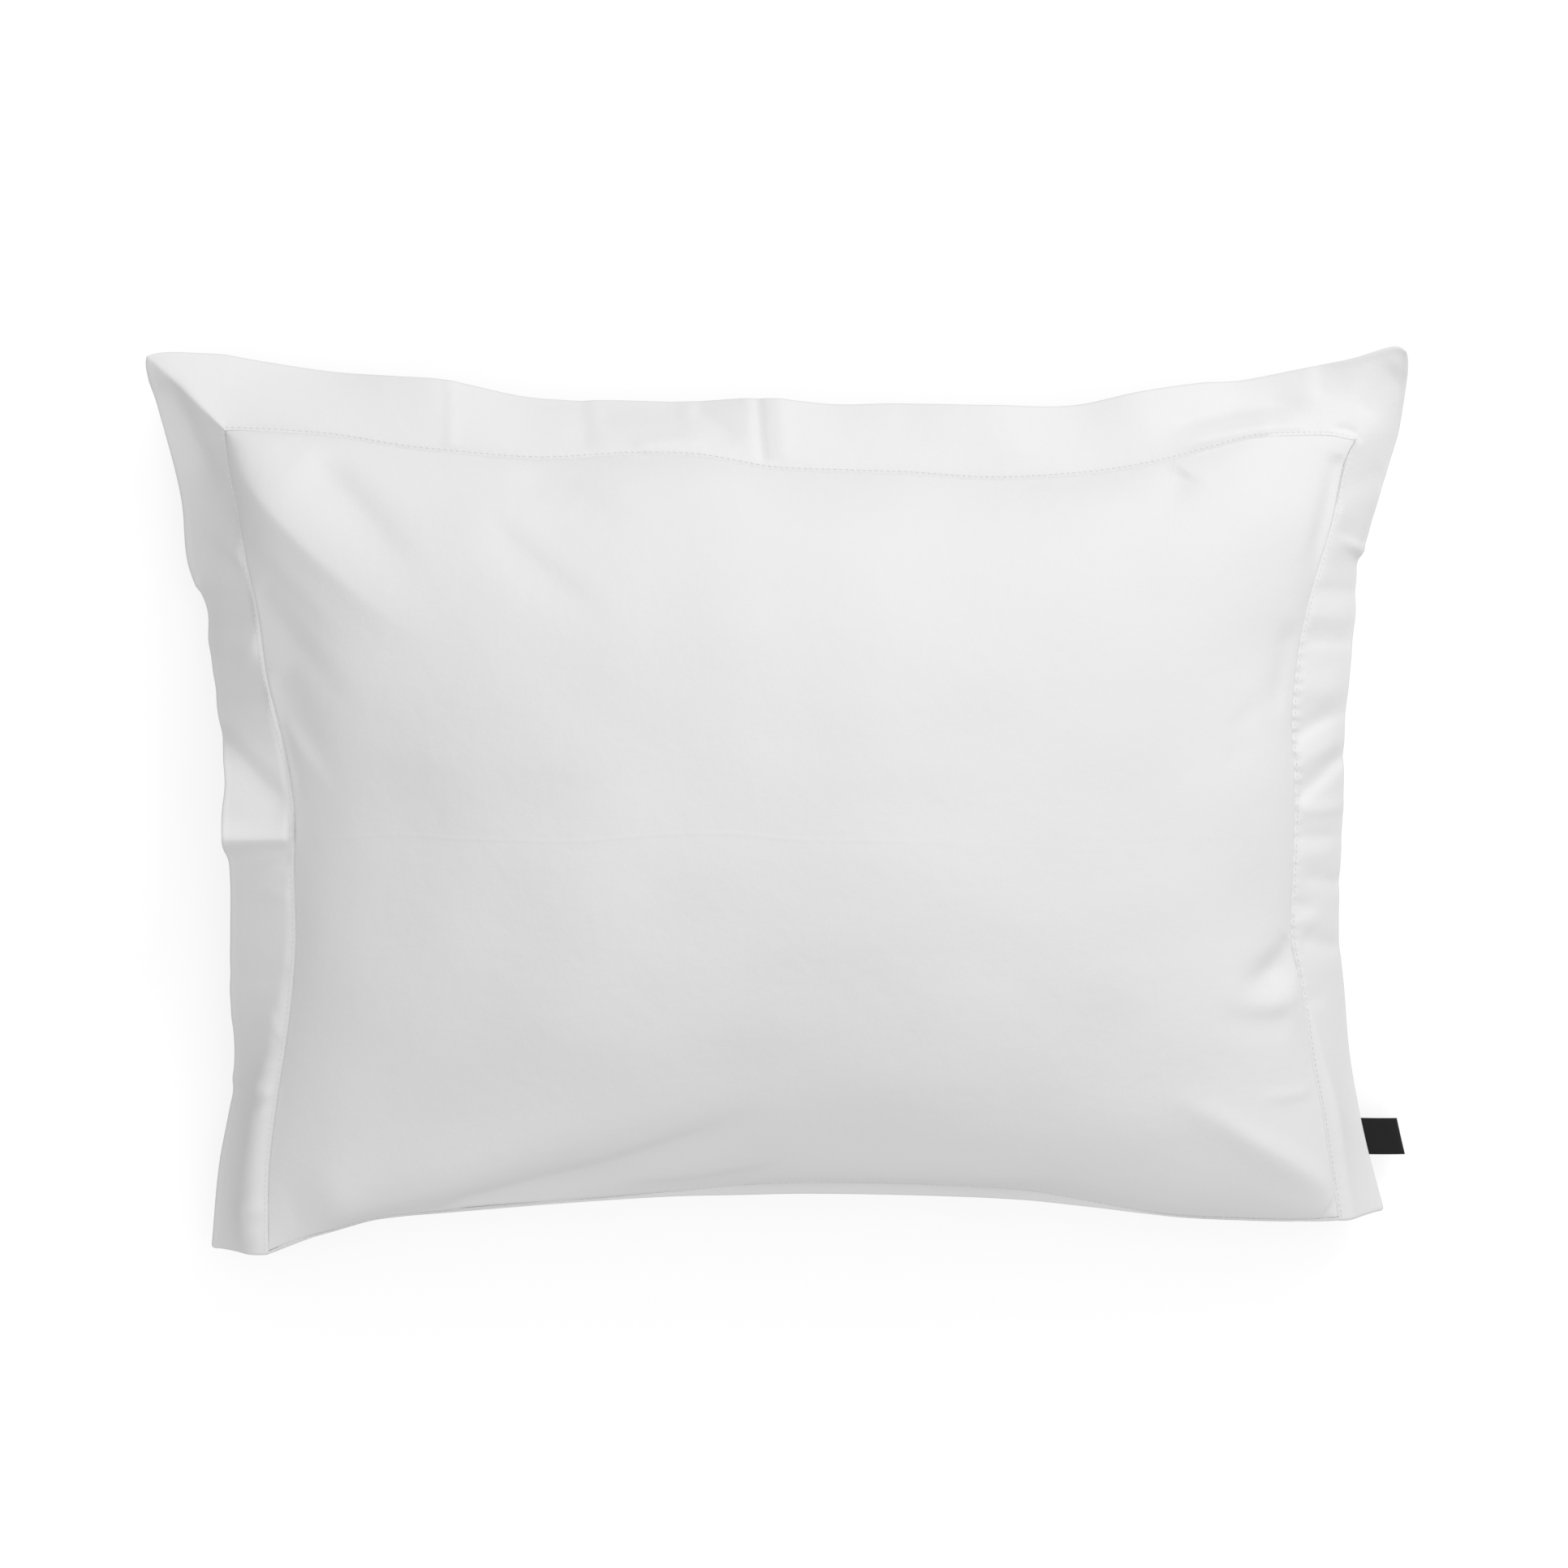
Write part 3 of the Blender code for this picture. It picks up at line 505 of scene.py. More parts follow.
def flange_grid():
    """Mid-surface of the whole flange on the grid of the cloth, and its mask."""
    steps = flange_steps()
    us, vs = shares(COLUMNS), shares(ROWS)[::-1]
    k = FLANGE_CELLS
    u = np.r_[-np.ones(k), us, np.ones(k)]
    ru = np.r_[steps[::-1], np.zeros(len(us)), steps]
    v = np.r_[np.ones(k), vs]
    rv = np.r_[steps[::-1], np.zeros(len(vs))]
    p = seam_net(u, v)
    p += blunted(p) * np.clip(np.maximum(ru[:, None], rv[None]) * 1.6, 0, 1)[..., None]
    s, t = (u + 1) / 2, (1 - v) / 2
    left, right = slice(0, k + 1), slice(k + len(us) - 1, None)
    top = slice(0, k + 1)
    down_rows = slice(k, None)
    p[left, down_rows] += side_step(-1, t[None, down_rows], ru[left, None])
    p[right, down_rows] += side_step(1, t[None, down_rows], ru[right, None])
    middle = slice(k, k + len(us))
    p[middle, top] += top_step(s[middle, None], rv[None, top])
    start = np.radians(np.maximum(along(BOTTOM, "curl", s[middle]), 0))
    p[middle, -1, 1] += TUCK * np.cos(start)
    p[middle, -1, 2] += TUCK * np.sin(start) * 0.5
    for sign, cols, name in ((-1, slice(0, k), "top_left"), (1, slice(k + len(us), None), "top_right")):
        c = CORNERS[name]
        tip = np.array([c.dx, c.dy, c.dz]) * MM
        corner = (sign + 1) / 2
        a, b = np.meshgrid(ru[cols], rv[:k], indexing="ij")
        # the tip is round: both shares draw back towards it
        ra, rb = a * (1 - c.round * b ** 7), b * (1 - c.round * a ** 7)
        m = np.minimum(ra, rb)

        def side(r):
            return side_step(sign, 0.0, r, 0.0)

        def top(r):
            return top_step(corner, r, 0.0)

        swept = side(ra) + top(rb) + (ra * rb)[..., None] * (tip - side(1.0) - top(1.0))
        # mitred: the top's flange runs on level with itself to the diagonal, and
        # the side's falls from there
        mitred = m[..., None] * tip + side(ra - m) + top(rb - m)
        rise = tip[2] - top(1.0)[2]
        mitred[..., 2] = top(rb)[..., 2] + m * rise + side(ra - m)[..., 2]
        mitred[..., 0] = m * tip[0] + side(ra)[..., 0] * (ra - m) / np.maximum(ra, 1e-6)
        crisp = c.crisp * (1 - 0.7 * np.clip((m - 0.55) / 0.45, 0, 1) ** 1.5)
        p[cols, :k] += swept + (mitred - swept) * crisp[..., None]
    settle_corners(p, k, steps)
    # Past the bottom seam: round the turned edge, then back underneath.
    turn = np.arange(1, TURN_CELLS + 1) / TURN_CELLS
    a = np.r_[turn, np.ones(UNDER_CELLS)]
    b = np.r_[np.zeros(TURN_CELLS), np.arange(1, UNDER_CELLS + 1) / UNDER_CELLS]
    under = np.zeros((len(u), len(a), 3))
    for i in range(len(u)):
        radius = along(BOTTOM, "reach", s[i]) * MM / 2
        start = math.radians(max(0.0, float(along(BOTTOM, "curl", s[i]))))
        angle = start + (math.pi - start) * a
        depth = radius * (math.cos(start) - np.cos(angle))
        out = radius * (np.sin(angle) - math.sin(start) * (1 - a))
        length = (FLANGE_WIDTH - (math.pi - start) * radius) * b
        if ru[i] == 0:
            steps_v = -1 + np.linspace(0, 0.62, 260) ** 1.3
            line = back_grid(u[i:i + 1], steps_v)[0]
            walked = np.r_[0, np.cumsum(np.hypot(np.diff(line[:, 1]), np.diff(line[:, 2])))]
            here = np.stack([np.interp(length, walked, line[:, q]) for q in range(3)], -1)
            ahead = np.gradient(line[:, 1:], axis=0)
            ahead /= np.maximum(np.linalg.norm(ahead, axis=1, keepdims=True), 1e-9)
            ay, az = (np.interp(length, walked, ahead[:, q]) for q in (0, 1))
            away = np.stack([np.zeros_like(ay), az, -ay], -1)
            near = back_grid(np.array([u[i] - math.copysign(0.02, u[i])]), steps_v)[0]
            tilt = np.abs(near[:, 2] - line[:, 2]) / np.maximum(np.abs(near[:, 0] - line[:, 0]), 1e-6)
            room = np.minimum(2.0, np.sqrt(1 + np.interp(length, walked, tilt) ** 2))
            away *= room[:, None]
        else:
            sign = math.copysign(1, u[i])
            whole = np.linalg.norm(seam_point("top", s[i]) - seam_point("bottom", s[i]))
            tt = 1 - length / whole
            step = side_step(sign, tt, np.full_like(tt, ru[i]))
            here = seam_net(np.array([sign]), 1 - 2 * tt)[0] + step
            away = np.stack([step[:, 2] * sign, np.zeros_like(out), -np.abs(step[:, 0])], -1)
            away /= np.maximum(np.linalg.norm(away, axis=1, keepdims=True), 1e-9)
        under[i] = here + away * depth[:, None]
        under[i, :, 1] -= out
    p = np.concatenate([p, under], 1)
    top_part = p[:, :k + ROWS + 1]
    lift = crease_field(top_part[..., 0] / MM, top_part[..., 1] / MM, FLANGE_CREASES)
    grown = np.maximum(ru[:, None], rv[None])
    lift *= np.clip(grown / 0.10, 0, 1)
    # mostly up and down, so that the outline keeps to the tables
    normal = -grid_normals(top_part)
    normal[..., :2] *= 0.3
    p[:, :k + ROWS + 1] += normal * (lift / np.maximum(normal[..., 2], 0.45))[..., None]
    hole = (k, k + COLUMNS, k, k + ROWS)
    uu = np.r_[-0.05 * steps[::-1], (np.arange(COLUMNS + 1) / COLUMNS) * CLOTH[0],
               CLOTH[0] + 0.05 * steps]
    vv = np.r_[CLOTH[1] + 0.05 * steps[::-1], (1 - np.arange(ROWS + 1) / ROWS) * CLOTH[1],
               -0.05 * (np.arange(1, len(a) + 1) / len(a))]
    width = np.maximum(np.abs(ru)[:, None], np.r_[rv, 0.0 * a][None])
    width[:, k + ROWS + 1:] = np.maximum(width[:, k + ROWS + 1:], np.maximum(0.12 * a, b)[None])
    return p, hole, uu, vv, width


# ------------------------------------------------------------------ mesh making
case_low, case_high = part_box("filled_case")
SHIFT = np.array([case_low[0] - CORNERS["top_left"].x * MM,
                  case_low[1] - CORNERS["bottom_right"].y * MM, 0.0])


def make_object(name, points, faces, uvs=None, smooth=True, attributes=None):
    mesh = bpy.data.meshes.new(name)
    mesh.from_pydata([tuple(p) for p in points], [], faces)
    if uvs is not None:
        layer = mesh.uv_layers.new(name="cloth")
        index = np.empty(len(mesh.loops), np.int32)
        mesh.loops.foreach_get("vertex_index", index)
        layer.data.foreach_set("uv", np.asarray(uvs, np.float32)[index].ravel())
    for key, values in (attributes or {}).items():
        layer = mesh.attributes.new(key, "FLOAT", "POINT")
        layer.data.foreach_set("value", np.asarray(values, np.float32))
    mesh.update()
    mesh.validate()
    if smooth:
        mesh.shade_smooth()
    obj = bpy.data.objects.new(name, mesh)
    bpy.context.scene.collection.objects.link(obj)
    return obj


def build_case():
    u, v = shares(COLUMNS), shares(ROWS)
    front = face_grid(u, v) + SHIFT
    hidden = np.clip((along(BOTTOM, "curl", (u + 1) / 2) - 14) / 40, 0, 1)
    front[:, 0, 1] -= OVERHANG[0] * MM * hidden
    front[:, 0, 2] -= OVERHANG[1] * MM * hidden
    back = back_grid(u[::2], v[::2]) + SHIFT
    nu, nv = COLUMNS + 1, ROWS + 1
    front_id = np.arange(nu * nv).reshape(nu, nv)
    points = [front.reshape(-1, 3)]
    back_id = np.full((nu // 2 + 1, nv // 2 + 1), -1)
    edge = np.zeros(back_id.shape, bool)
    edge[0] = edge[-1] = True
    edge[:, 0] = edge[:, -1] = True
    back_id[edge] = front_id[::2, ::2][edge]
    back_id[~edge] = nu * nv + np.arange((~edge).sum())
    points.append(back[~edge])
    faces = np.stack([front_id[:-1, :-1], front_id[1:, :-1], front_id[1:, 1:],
                      front_id[:-1, 1:]], -1).reshape(-1, 4).tolist()
    cu, cv = back_id.shape[0] - 1, back_id.shape[1] - 1
    for i in range(cu):
        for j in range(cv):
            loop = [back_id[i, j]]
            if i == 0:
                loop.append(front_id[0, 2 * j + 1])
            loop.append(back_id[i, j + 1])
            if j == cv - 1:
                loop.append(front_id[2 * i + 1, -1])
            loop.append(back_id[i + 1, j + 1])
            if i == cu - 1:
                loop.append(front_id[-1, 2 * j + 1])
            loop.append(back_id[i + 1, j])
            if j == 0:
                loop.append(front_id[2 * i + 1, 0])
            faces.append([int(q) for q in loop])
    gu, gv = np.meshgrid(np.arange(nu) / COLUMNS * CLOTH[0], np.arange(nv) / ROWS * CLOTH[1],
                         indexing="ij")
    uv = np.stack([gu, gv], -1)
    uvs = np.concatenate([uv.reshape(-1, 2), uv[::2, ::2][~edge]])
    return make_object("case_body", np.concatenate(points), faces, uvs)


def build_flange():
    p, (i0, i1, j0, j1), uu, vv, width = FLANGE_GRID
    p = p + SHIFT
    n, m = p.shape[:2]
    keep = np.ones((n, m), bool)
    keep[i0 + 1:i1, j0 + 1:j1] = False
    ids = np.full((n, m), -1)
    ids[keep] = np.arange(keep.sum())
    quad = np.stack([ids[:-1, :-1], ids[:-1, 1:], ids[1:, 1:], ids[1:, :-1]], -1)
    cell = np.ones((n - 1, m - 1), bool)
    cell[i0:i1, j0:j1] = False
    faces = quad[cell].tolist()
    gu, gv = np.meshgrid(uu, vv, indexing="ij")
    obj = make_object("case_flange", p[keep], faces, np.stack([gu, gv], -1)[keep])
    ply = np.interp(width, (0, 0.03, 0.10, HEM - 0.02, HEM + 0.02, 0.972, 0.988, 1.0),
                    (0.10, 0.30, PLY_FIELD, PLY_FIELD, 1.0, 1.0, 0.78, 0.24)).round(2)
    group = obj.vertex_groups.new(name="ply")
    values = ply[keep]
    for w in np.unique(values):
        group.add(np.nonzero(values == w)[0].tolist(), float(w), "REPLACE")
    solid = obj.modifiers.new("plies", "SOLIDIFY")
    solid.thickness = PLY_THICK
    solid.offset = 0.0
    solid.vertex_group = "ply"
    solid.thickness_vertex_group = 0.0
    return obj


def build_tab():
    """Woven tape folded once: two plies with rounded fold, soft woven edges."""
    nx, ny = 26, 22
    x = np.linspace(0, TAB_LENGTH, nx)
    y = np.linspace(0.5, -0.5, ny) * TAB_WIDTH
    share = TAB_SHARE - y / 0.49
    grid = FLANGE_GRID[0]
    rows = slice(FLANGE_CELLS, FLANGE_CELLS + ROWS + 1)
    at = (1 - shares(ROWS)[::-1]) / 2
    edge = np.stack([np.interp(share, at, grid[-1, rows, q]) for q in range(3)], -1)
    edge = edge[:, None] + SHIFT
    z = -TAB_SLOPE * x - TAB_BEND * x * x
    half = TAB_THICK / 2 * np.sqrt(np.clip(1 - (np.maximum(0, x - TAB_LENGTH + 0.0012) / 0.0012) ** 2, 0, 1))
    half = np.maximum(half, TAB_THICK * 0.10)
    ease = np.sqrt(np.clip(1 - (np.abs(y) / (TAB_WIDTH / 2)) ** 14, 0.04, 1))
    warp = 0.00025 * np.sin(2 * math.pi * x / 0.019 + 0.6)[None] * np.cos(math.pi * y / TAB_WIDTH)[:, None]
    rings = []
    for sgn in (1, -1):
        q = np.zeros((ny, nx, 3)) + edge
        q[..., 0] += x[None] + TAB_GAP
        q[..., 1] -= TAB_SKEW * x[None]
        q[..., 2] += z[None] + warp + sgn * half[None] * ease[:, None]
        rings.append(q)
    top, low = rings
    ids_top = np.arange(ny * nx).reshape(ny, nx)
    ids_low = ids_top + ny * nx
    faces = []
    for j in range(ny - 1):
        for i in range(nx - 1):
            faces.append([ids_top[j, i], ids_top[j + 1, i], ids_top[j + 1, i + 1], ids_top[j, i + 1]])
            faces.append([ids_low[j, i], ids_low[j, i + 1], ids_low[j + 1, i + 1], ids_low[j + 1, i]])
    for i in range(nx - 1):
        faces.append([ids_top[0, i], ids_top[0, i + 1], ids_low[0, i + 1], ids_low[0, i]])
        faces.append([ids_top[-1, i], ids_low[-1, i], ids_low[-1, i + 1], ids_top[-1, i + 1]])
    for j in range(ny - 1):
        faces.append([ids_top[j, 0], ids_low[j, 0], ids_low[j + 1, 0], ids_top[j + 1, 0]])
        faces.append([ids_top[j, -1], ids_top[j + 1, -1], ids_low[j + 1, -1], ids_low[j, -1]])
    faces = [[int(k) for k in f] for f in faces]
    gx, gy = np.meshgrid(y, x, indexing="ij")
    uv = np.stack([gx, gy], -1).reshape(-1, 2)
    return make_object("tab_tape", np.concatenate([top.reshape(-1, 3), low.reshape(-1, 3)]), faces,
                       np.concatenate([uv, uv]))


def build_stitches():
    """One capsule for each stitch that lies on the face side of the seam."""
    points, faces = [], []
    sections, around = 5, 6

    grid, k, m = FLANGE_GRID[0], FLANGE_CELLS, 3
    across, down = slice(k, k + COLUMNS + 1), slice(k, k + ROWS + 1)
    lines = {"top": grid[across, k - m], "left": grid[k - m, down],
             "right": grid[k + COLUMNS + m, down],
             "bottom": grid[across, k + ROWS] + np.array([0, -0.0011, -0.0004])}

    for side in ("top", "bottom", "left", "right"):
        p = lines[side] + np.array([0, 0, PLY_THICK * PLY_FIELD * 0.5 + 0.00005]) + SHIFT
        walked = np.r_[0, np.cumsum(np.linalg.norm(np.diff(p, axis=0), axis=1))]
        count = int(walked[-1] // STITCH_PITCH)
        mids = (np.arange(count) + 0.5) * walked[-1] / count
        for q in mids:
            at = np.linspace(q - STITCH_LENGTH / 2, q + STITCH_LENGTH / 2, sections)
            c = np.stack([np.interp(at, walked, p[:, k]) for k in range(3)], -1)
            c[:, 2] -= np.array([0.30, 0.06, 0.0, 0.06, 0.30]) * MM
            d = c[-1] - c[0]
            d /= np.linalg.norm(d)
            side_dir = np.cross(d, [0, 0, 1.0])
            side_dir /= np.linalg.norm(side_dir)
            up = np.cross(side_dir, d)
            first = len(points)
            for s_i in range(sections):
                r = STITCH_RADIUS * (0.55 if s_i in (0, sections - 1) else 1.0)
                for a_i in range(around):
                    ang = 2 * math.pi * a_i / around
                    points.append(c[s_i] + r * (math.cos(ang) * side_dir + math.sin(ang) * up))
            for s_i in range(sections - 1):
                for a_i in range(around):
                    b_i = (a_i + 1) % around
                    faces.append([first + s_i * around + a_i, first + s_i * around + b_i,
                                  first + (s_i + 1) * around + b_i, first + (s_i + 1) * around + a_i])
            faces.append([first + a_i for a_i in reversed(range(around))])
            faces.append([first + (sections - 1) * around + a_i for a_i in range(around)])
    return make_object("seam_stitches", points, faces)


# -------------------------------------------------------------------- materials
def principled(name, colour, roughness, sheen=0.0, sheen_roughness=0.5):
    mat = bpy.data.materials.new(name)
    mat.use_nodes = True
    shader = mat.node_tree.nodes["Principled BSDF"]
    shader.inputs["Base Color"].default_value = (*colour, 1)
    shader.inputs["Roughness"].default_value = roughness
    shader.inputs["Sheen Weight"].default_value = sheen
    shader.inputs["Sheen Roughness"].default_value = sheen_roughness
    return mat, mat.node_tree, shader


def node(tree, kind, inputs=None, **settings):
    n = tree.nodes.new(kind)
    for key, value in settings.items():
        setattr(n, key, value)
    for key, value in (inputs or {}).items():
        if isinstance(value, tuple) and len(value) == 2 and isinstance(value[0], bpy.types.Node):
            tree.links.new(value[0].outputs[value[1]], n.inputs[key])
        else:
            n.inputs[key].default_value = value
    return n


def cotton(name, pressed):
    """Smooth plain-woven cotton: threads both ways, slubs, slow unevenness."""
    mat, tree, shader = principled(name, (0.83, 0.83, 0.82), 0.72, 0.12, 0.45)
    uv = node(tree, "ShaderNodeUVMap", uv_map="cloth")
    place = node(tree, "ShaderNodeTexCoord")
    # threads: stretched noise one way and the other, at the pitch of a fine weave
    heights = []
    for sx, sy in ((3300.0, 260.0), (260.0, 3300.0)):
        stretch = node(tree, "ShaderNodeMapping", {"Vector": (uv, "UV"), "Scale": (sx, sy, 1.0)})
        heights.append(node(tree, "ShaderNodeTexNoise", {"Vector": (stretch, "Vector"), "Scale": 1.0,
                                                         "Detail": 2.0, "Roughness": 0.5}))
    weave = node(tree, "ShaderNodeMath", {0: (heights[0], "Fac"), 1: (heights[1], "Fac")}, operation="ADD")
    slub_map = node(tree, "ShaderNodeMapping", {"Vector": (uv, "UV"), "Scale": (26.0, 420.0, 1.0)})
    slub = node(tree, "ShaderNodeTexNoise", {"Vector": (slub_map, "Vector"), "Scale": 1.0, "Detail": 3.0})
    crinkle = node(tree, "ShaderNodeTexNoise", {"Vector": (place, "Object"), "Scale": 85.0,
                                                "Detail": 3.0, "Roughness": 0.55})
    slow = node(tree, "ShaderNodeTexNoise", {"Vector": (place, "Object"), "Scale": 7.0, "Detail": 2.0})
    b1 = node(tree, "ShaderNodeBump", {"Height": (crinkle, "Fac"), "Strength": 0.35, "Distance": 0.0012})
    b2 = node(tree, "ShaderNodeBump", {"Height": (slub, "Fac"), "Strength": 0.25, "Distance": 0.00012,
                                       "Normal": (b1, "Normal")})
    b3 = node(tree, "ShaderNodeBump", {"Height": (weave, "Value"), "Strength": 0.35, "Distance": 0.00006,
                                       "Normal": (b2, "Normal")})
    last = b3
    if pressed:
        # creases pressed in when it was folded to be packed: one across the
        # middle and one up and down, both shallow and uneven
        split = node(tree, "ShaderNodeSeparateXYZ", {"Vector": (uv, "UV")})
        for axis, centre, strength in (("Y", 0.2525, 0.22), ("X", 0.5600, 0.14)):
            wander = node(tree, "ShaderNodeTexNoise", {"Vector": (place, "Object"), "Scale": 9.0, "Detail": 1.0})
            offset = node(tree, "ShaderNodeMath", {0: (wander, "Fac"), 1: 0.0035, 2: centre - 0.00175},
                          operation="MULTIPLY_ADD")
            gap = node(tree, "ShaderNodeMath", {0: (split, axis), 1: (offset, "Value")}, operation="SUBTRACT")
            far = node(tree, "ShaderNodeMath", {0: (gap, "Value")}, operation="ABSOLUTE")
            ridge = node(tree, "ShaderNodeMapRange", {"Value": (far, "Value"), "From Min": 0.0,
                                                      "From Max": 0.0022, "To Min": 1.0, "To Max": 0.0},
                         interpolation_type="SMOOTHSTEP")
            # the one across is worn off towards the side with the tab
            worn = node(tree, "ShaderNodeMapRange", {"Value": (split, "X"), "From Min": 0.30, "From Max": 0.50,
                                                     "To Min": 1.0, "To Max": 0.2 if axis == "Y" else 1.0},
                        interpolation_type="SMOOTHSTEP")
            ridge = node(tree, "ShaderNodeMath", {0: (ridge, "Result"), 1: (worn, "Result")},
                         operation="MULTIPLY")
            last = node(tree, "ShaderNodeBump", {"Height": (ridge, "Value"), "Strength": strength,
                                                 "Distance": 0.00045, "Normal": (last, "Normal")})
    else:
        last = puckers(tree, uv, place, last)
    tree.links.new(last.outputs["Normal"], shader.inputs["Normal"])
    tint = node(tree, "ShaderNodeMapRange", {"Value": (slow, "Fac"), "From Min": 0.3, "From Max": 0.7,
                                             "To Min": 0.0, "To Max": 1.0})
    mix = node(tree, "ShaderNodeMix", {"Factor": (tint, "Result")}, data_type="RGBA")
    mix.inputs[6].default_value = (0.79, 0.79, 0.79, 1)
    mix.inputs[7].default_value = (0.81, 0.81, 0.81, 1)
    tree.links.new(mix.outputs[2], shader.inputs["Base Color"])
    return mat


def puckers(tree, uv, place, last):
    """The stitching gathers the flange a little, most along the side with the tab."""
    split = node(tree, "ShaderNodeSeparateXYZ", {"Vector": (uv, "UV")})
    for axis, across, start, sign, strength, most in (("Y", "X", CLOTH[0], 1.0, 0.7, 0.265),
                                                      ("X", "Y", CLOTH[1], 1.0, 0.12, 0.0),
                                                      ("Y", "X", 0.0, -1.0, 0.2, 0.0)):
        far = node(tree, "ShaderNodeMath", {0: (split, across), 1: sign, 2: -sign * start},
                   operation="MULTIPLY_ADD")
        fade = node(tree, "ShaderNodeMapRange", {"Value": (far, "Value"), "From Min": 0.0, "From Max": 0.009,
                                                 "To Min": 1.0, "To Max": 0.0}, interpolation_type="SMOOTHSTEP")
        past = node(tree, "ShaderNodeMath", {0: (far, "Value"), 1: 0.0003}, operation="GREATER_THAN")
        shift = node(tree, "ShaderNodeTexNoise", {"Vector": (place, "Object"), "Scale": 60.0, "Detail": 1.0})
        run = node(tree, "ShaderNodeMath", {0: (shift, "Fac"), 1: 5.0}, operation="MULTIPLY")
        turns = node(tree, "ShaderNodeMath", {0: (split, axis), 1: 2 * math.pi / 0.0072, 2: (run, "Value")},
                     operation="MULTIPLY_ADD")
        wave = node(tree, "ShaderNodeMath", {0: (turns, "Value")}, operation="SINE")
        where = node(tree, "ShaderNodeTexNoise", {"Vector": (place, "Object"), "Scale": 11.0, "Detail": 1.0})
        part = node(tree, "ShaderNodeMapRange", {"Value": (where, "Fac"), "From Min": 0.42, "From Max": 0.62,
                                                 "To Min": 0.15, "To Max": 1.0})
        a = node(tree, "ShaderNodeMath", {0: (fade, "Result"), 1: (past, "Value")}, operation="MULTIPLY")
        b = node(tree, "ShaderNodeMath", {0: (a, "Value"), 1: (part, "Result")}, operation="MULTIPLY")
        if most:
            off = node(tree, "ShaderNodeMath", {0: (split, axis), 1: most}, operation="SUBTRACT")
            off = node(tree, "ShaderNodeMath", {0: (off, "Value")}, operation="ABSOLUTE")
            here = node(tree, "ShaderNodeMapRange", {"Value": (off, "Value"), "From Min": 0.045,
                                                     "From Max": 0.12, "To Min": 1.0, "To Max": 0.15})
            b = node(tree, "ShaderNodeMath", {0: (b, "Value"), 1: (here, "Result")}, operation="MULTIPLY")
        height = node(tree, "ShaderNodeMath", {0: (wave, "Value"), 1: (b, "Value")}, operation="MULTIPLY")
        last = node(tree, "ShaderNodeBump", {"Height": (height, "Value"), "Strength": strength,
                                             "Distance": 0.0006, "Normal": (last, "Normal")})
    return last


def tape(name):
    mat, tree, shader = principled(name, (0.012, 0.012, 0.013), 0.62)
    shader.inputs["Specular IOR Level"].default_value = 0.18
    uv = node(tree, "ShaderNodeUVMap", uv_map="cloth")
    ribs = node(tree, "ShaderNodeMapping", {"Vector": (uv, "UV"), "Scale": (2200.0, 5200.0, 1.0)})
    grain = node(tree, "ShaderNodeTexNoise", {"Vector": (ribs, "Vector"), "Scale": 1.0, "Detail": 2.0})
    colour = node(tree, "ShaderNodeMix", {"Factor": (grain, "Fac")}, data_type="RGBA")
    colour.inputs[6].default_value = (0.004, 0.004, 0.0045, 1)
    colour.inputs[7].default_value = (0.014, 0.014, 0.015, 1)
    tree.links.new(colour.outputs[2], shader.inputs["Base Color"])
    bump = node(tree, "ShaderNodeBump", {"Height": (grain, "Fac"), "Strength": 0.5, "Distance": 0.0001})
    tree.links.new(bump.outputs["Normal"], shader.inputs["Normal"])
    return mat


def thread(name):
    mat, tree, shader = principled(name, (0.86, 0.86, 0.85), 0.6, 0.2, 0.4)
    place = node(tree, "ShaderNodeTexCoord")
    twist = node(tree, "ShaderNodeTexWave", {"Vector": (place, "Object"), "Scale": 900.0, "Distortion": 1.0})
    bump = node(tree, "ShaderNodeBump", {"Height": (twist, "Fac"), "Strength": 0.3, "Distance": 0.00005})
    tree.links.new(bump.outputs["Normal"], shader.inputs["Normal"])
    return mat


# ------------------------------------------------------------------- the object
FLANGE_GRID = flange_grid()
body = build_case()
flange = build_flange()
tab = build_tab()
stitches = build_stitches()
body.data.materials.append(cotton("face_cotton", True))
flange.data.materials.append(cotton("flange_cotton", False))
tab.data.materials.append(tape("woven_tape"))
stitches.data.materials.append(thread("sewing_thread"))

for piece in (body, flange, tab, stitches):
    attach(piece, "root")
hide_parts("filled_case")
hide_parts("flange")
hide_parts("label_tab")

# -------------------------------------------------------------- floor and lights
bpy.ops.mesh.primitive_plane_add(size=40, location=(0, 0, -0.0006))
floor = bpy.context.object
floor.name = "floor"
mat, tree, shader = principled("glowing_floor_paper", (0.38, 0.38, 0.38), 0.9)
shader.inputs["Specular IOR Level"].default_value = 0.0
# The floor glows: painted light that lifts its shade and the pillow's contact shadow on it toward white. It is
# hidden from diffuse rays and not sampled as a light, so it lights nothing else.
shader.inputs["Emission Color"].default_value = (1, 1, 1, 1)
shader.inputs["Emission Strength"].default_value = 0.70
mat.cycles.emission_sampling = "NONE"
floor.data.materials.append(mat)
floor.visible_diffuse = False


def area_light(name, place, target, size, power, colour=(1, 1, 1)):
    data = bpy.data.lights.new(name, "AREA")
    data.shape = "DISK"
    data.size = size
    data.energy = power
    data.color = colour
    obj = bpy.data.objects.new(name, data)
    obj.location = place
    obj.rotation_euler = (Vector(target) - Vector(place)).to_track_quat("-Z", "Y").to_euler()
    bpy.context.scene.collection.objects.link(obj)
    return obj


